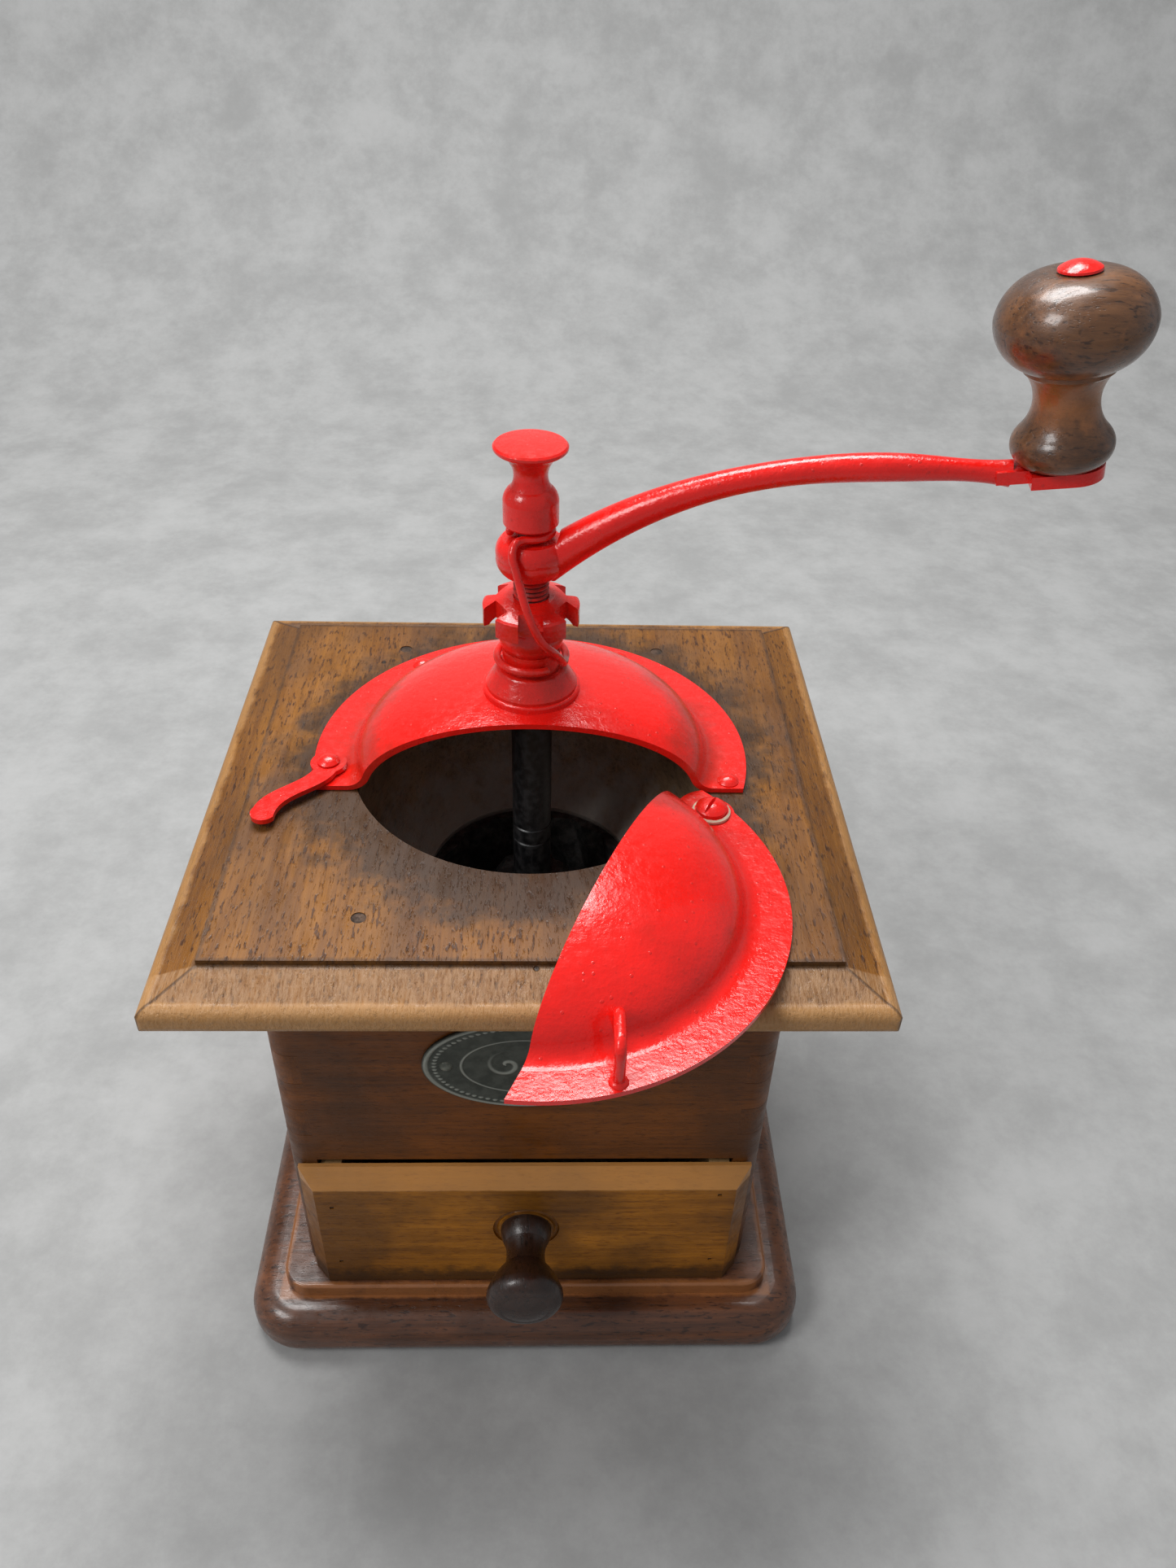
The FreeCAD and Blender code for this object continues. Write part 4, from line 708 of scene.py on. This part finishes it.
# %% Locking wire
WIRE_RADIUS = 0.0009
WIRE_TO_HUB = 0.0016
HUB_HEIGHT = 0.0085
NUT_CLEARANCE = 0.0014
EYE_SWEEP, RING_SWEEP = 300, 318
STEPS = 900
TIP_STEPS = 5.0


def lock_wire():
    """The stations are joined by straight steps, then softened, and a round bar follows them."""
    nut_low, nut_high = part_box("adjusting_nut")
    wire_low, wire_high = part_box("lock_wire")
    eye_z, ring_z = wire_high.z - WIRE_RADIUS, wire_low.z + WIRE_RADIUS
    hub_top = eye_z - WIRE_TO_HUB
    hub_low = hub_top - HUB_HEIGHT
    past_nut = nut_high.x - AXIS_X + NUT_CLEARANCE
    stations = np.array([
        (0.0045, 200, eye_z), (0.0045, 200 - EYE_SWEEP, eye_z), (0.0052, -113, eye_z),
        (0.0070, -119, eye_z - 0.0002), (0.0086, -117, hub_top - 0.0008), (0.0091, -109, hub_top - 0.0036),
        (0.0099, -102, hub_low + 0.0012), (0.0114, -95, hub_low - 0.0023),
        (past_nut, -88, nut_high.z - 0.0008), (past_nut, -80, nut_high.z - 0.0046),
        (past_nut, -71, nut_low.z + 0.0058), (0.0104, -56, nut_low.z + 0.0024),
        (0.0090, -38, ring_z + 0.0012), (0.0078, -15, ring_z), (0.0078, RING_SWEEP - 15, ring_z),
    ])
    place = np.stack([
        AXIS_X + stations[:, 0] * np.cos(np.radians(stations[:, 1])),
        AXIS_Y + stations[:, 0] * np.sin(np.radians(stations[:, 1])), stations[:, 2]], 1)
    spans = np.linalg.norm(np.diff(place, axis=0), axis=1)
    spans[0] = stations[0, 0] * math.radians(EYE_SWEEP)
    spans[-1] = stations[-1, 0] * math.radians(RING_SWEEP)
    run = np.concatenate([[0], np.cumsum(spans)])
    even = np.linspace(0, run[-1], STEPS)
    reach, angle, height = (smoothed(np.interp(even, run, column), 31) for column in stations.T)
    angle = np.radians(angle)
    path = np.stack([AXIS_X + reach * np.cos(angle), AXIS_Y + reach * np.sin(angle), height], 1)
    side = np.stack([np.cos(angle), np.sin(angle), np.zeros_like(angle)], 1)
    ends = np.minimum(np.arange(STEPS), np.arange(STEPS)[::-1])
    thick = WIRE_RADIUS * np.sqrt(1 - np.clip(1 - ends / TIP_STEPS, 0, 0.98) ** 2)
    rings = tube(path, side, thick)
    paint = finishes["fitting_paint"]
    piece = grid_piece("locking_wire", rings, "lock_wire", paint, caps=True)
    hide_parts("lock_wire")
    return outward(piece)


lock_wire()

# %% [markdown]
# ## The oval plate
# A thin grey sheet-metal oval has a ring of tiny beads near its rim and a plain scroll in relief in
# the middle. It is one grid in polar form: the radius share and the angle, with the relief as its depth.


# %% Oval plate
PLATE_SHEET = 0.0008
RELIEF_TOP = 0.0003
BEADS = 72


def plate_finish():
    """Grey metal whose recesses hold black dirt. The mesh's own relief attribute says what stands proud."""
    material, tree, place, shader = start("oval_metal", Metallic=0.6)
    cloud = noise(tree, stretched(tree, place, EVEN), 0.35, 6.0, 0.62)
    grey = blend(tree, ramp(tree, cloud, 0.35, 0.68), (0.050, 0.054, 0.044, 1), (0.095, 0.100, 0.084, 1))
    proud = add(tree, "ShaderNodeAttribute", attribute_name="relief").outputs["Fac"]
    colour = blend(tree, ramp(tree, proud, 0.05, 0.6), grey, (0.30, 0.31, 0.27, 1))
    finish_surface(tree, shader, colour, ramp(tree, cloud, 0.3, 0.7, 0.38, 0.6), cloud, 0.00008, 0.4)
    return material


def oval_plate():
    """Depth is the sum of a raised rim, a ring of beads (a cosine round the oval) and two spirals."""
    low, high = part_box("name_plate")
    centre = (low + high) / 2
    half_x, half_z = (high.x - low.x) / 2, (high.z - low.z) / 2
    share = np.linspace(0.0, 1.0, 150)[:, None]
    turn = np.linspace(0, 2 * math.pi, 720, endpoint=False)[None, :]
    x, z = share * half_x * np.cos(turn), share * half_z * np.sin(turn)
    relief = RELIEF_TOP * np.exp(-(((share - 0.965) / 0.02) ** 2)) * np.ones_like(turn)
    bead = RELIEF_TOP * np.exp(-(((share - 0.88) / 0.020) ** 2))
    relief = relief + bead * (0.5 + 0.5 * np.cos(BEADS * turn))
    relief = relief + 0.00022 * np.exp(-(((share - 0.62) / 0.012) ** 2)) * np.ones_like(turn)
    for sign in (-1, 1):
        u, v = x - sign * 0.0042, z + sign * 0.0006
        away, spin = np.hypot(u, v), np.arctan2(v, sign * u)
        arm = np.cos(spin - away / 0.00062)
        relief = relief + 0.00032 * np.clip(arm, 0, 1) ** 2 * np.clip(1 - away / 0.0046, 0, 1) ** 0.6
    front = np.stack([centre.x + x, high.y - PLATE_SHEET - relief, centre.z + z], -1)
    rim = np.stack([centre.x + x[-1:], np.full_like(x[-1:], high.y), centre.z + z[-1:]], -1)
    back = np.stack([centre.x + x[:1], np.full_like(x[:1], high.y), centre.z + z[:1]], -1)
    points = np.concatenate([front, rim, back], 0)
    points[0] = points[0].mean(0)
    piece = grid_piece("oval_plate", points, "body", plate_finish())
    proud = piece.data.attributes.new("relief", "FLOAT", "POINT")
    proud.data.foreach_set("value", np.pad(relief / RELIEF_TOP, ((0, 2), (0, 0))).ravel())
    weld = piece.modifiers.new("weld", "WELD")
    weld.merge_threshold = 1e-7
    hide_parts("name_plate")
    print("oval plate", round((high.y - low.y) * MM, 2), "mm deep")
    return piece


oval_plate()

# %% [markdown]
# ## Floor, light and camera
# A pale seamless floor and soft light from above show the gloss of the paint and wax without hard
# shadows. The camera looks down at the front from a little above the knob's height.


# %% Floor
FLOOR_FRONT = -1.2
FLOOR_BEND = 0.35
WALL_RISE = 1.4


def make_floor():
    """A sheet that runs level under the mill and curves up behind it."""
    across = np.linspace(-1.6, 1.6, 3)
    along = np.linspace(0.0, 1.0, 60)
    bend = np.clip((along - 0.5) * math.pi, 0, math.pi / 2)
    y = np.where(along < 0.5, FLOOR_FRONT + 3.4 * along, 0.5 + FLOOR_BEND * np.sin(bend))
    z = np.where(along < 0.5, 0.0, FLOOR_BEND * (1 - np.cos(bend)))
    z = z + np.where(along > 0.98, WALL_RISE, 0.0)
    grid_x, grid_y = np.meshgrid(across, y)
    points = np.stack([grid_x, grid_y, np.repeat(z[:, None], len(across), 1)], -1).reshape(-1, 3)
    rows, cols = len(along), len(across)
    index = np.arange(rows * cols).reshape(rows, cols)
    faces = np.stack([index[:-1, :-1], index[:-1, 1:], index[1:, 1:], index[1:, :-1]], -1).reshape(-1, 4)
    mesh = bpy.data.meshes.new("floor")
    mesh.from_pydata(points.tolist(), [], faces.tolist())
    mesh.shade_smooth()
    floor = bpy.data.objects.new("floor", mesh)
    bpy.context.scene.collection.objects.link(floor)
    material, tree, place, shader = start("floor_paper")
    cloud = noise(tree, stretched(tree, place, EVEN), 0.02, 8.0, 0.75)
    colour = blend(tree, ramp(tree, cloud, 0.3, 0.7), (0.30, 0.30, 0.295, 1), (0.40, 0.40, 0.395, 1))
    shader.inputs["Roughness"].default_value = 0.9
    finish_surface(tree, shader, colour)
    mesh.materials.append(material)
    return floor


make_floor()


# %% Lights
def area_light(name, place, target, size, power, colour=(1, 1, 1)):
    """A soft rectangular light that faces a point."""
    data = bpy.data.lights.new(name, "AREA")
    data.shape = "RECTANGLE"
    data.size, data.size_y = size
    data.energy = power
    data.color = colour
    lamp = bpy.data.objects.new(name, data)
    bpy.context.scene.collection.objects.link(lamp)
    aim = Vector(target) - Vector(place)
    lamp.matrix_world = Matrix.Translation(place) @ aim.to_track_quat("-Z", "Y").to_matrix().to_4x4()
    return lamp


area_light("overhead", (-0.10, 0.35, 1.10), (0, 0, 0.1), (0.7, 0.4), 13.0)
area_light("window", (-0.75, -0.45, 0.95), (0, 0, 0.1), (0.4, 0.4), 6.0)
world = bpy.data.worlds.new("room")
bpy.context.scene.world = world
world.use_nodes = True
world.node_tree.nodes["Background"].inputs["Color"].default_value = (0.95, 0.97, 1.0, 1)
world.node_tree.nodes["Background"].inputs["Strength"].default_value = 0.34
bpy.context.scene.view_settings.view_transform = "Standard"

# %% Camera
EYE = Vector((0.004598, -0.232442, 0.319394))
AHEAD = Vector((0.0330, 0.7846, -0.6192)).normalized()
ROLL = math.radians(1.891)
camera_data = bpy.data.cameras.new("camera")
camera_data.lens = 28.07
camera_data.sensor_width = 36.0
camera_data.clip_start = 0.01
camera = bpy.data.objects.new("camera", camera_data)
bpy.context.scene.collection.objects.link(camera)
level = AHEAD.to_track_quat("-Z", "Y").to_matrix().to_4x4()
camera.matrix_world = Matrix.Translation(EYE) @ level @ Matrix.Rotation(ROLL, 4, "Z")
bpy.context.scene.camera = camera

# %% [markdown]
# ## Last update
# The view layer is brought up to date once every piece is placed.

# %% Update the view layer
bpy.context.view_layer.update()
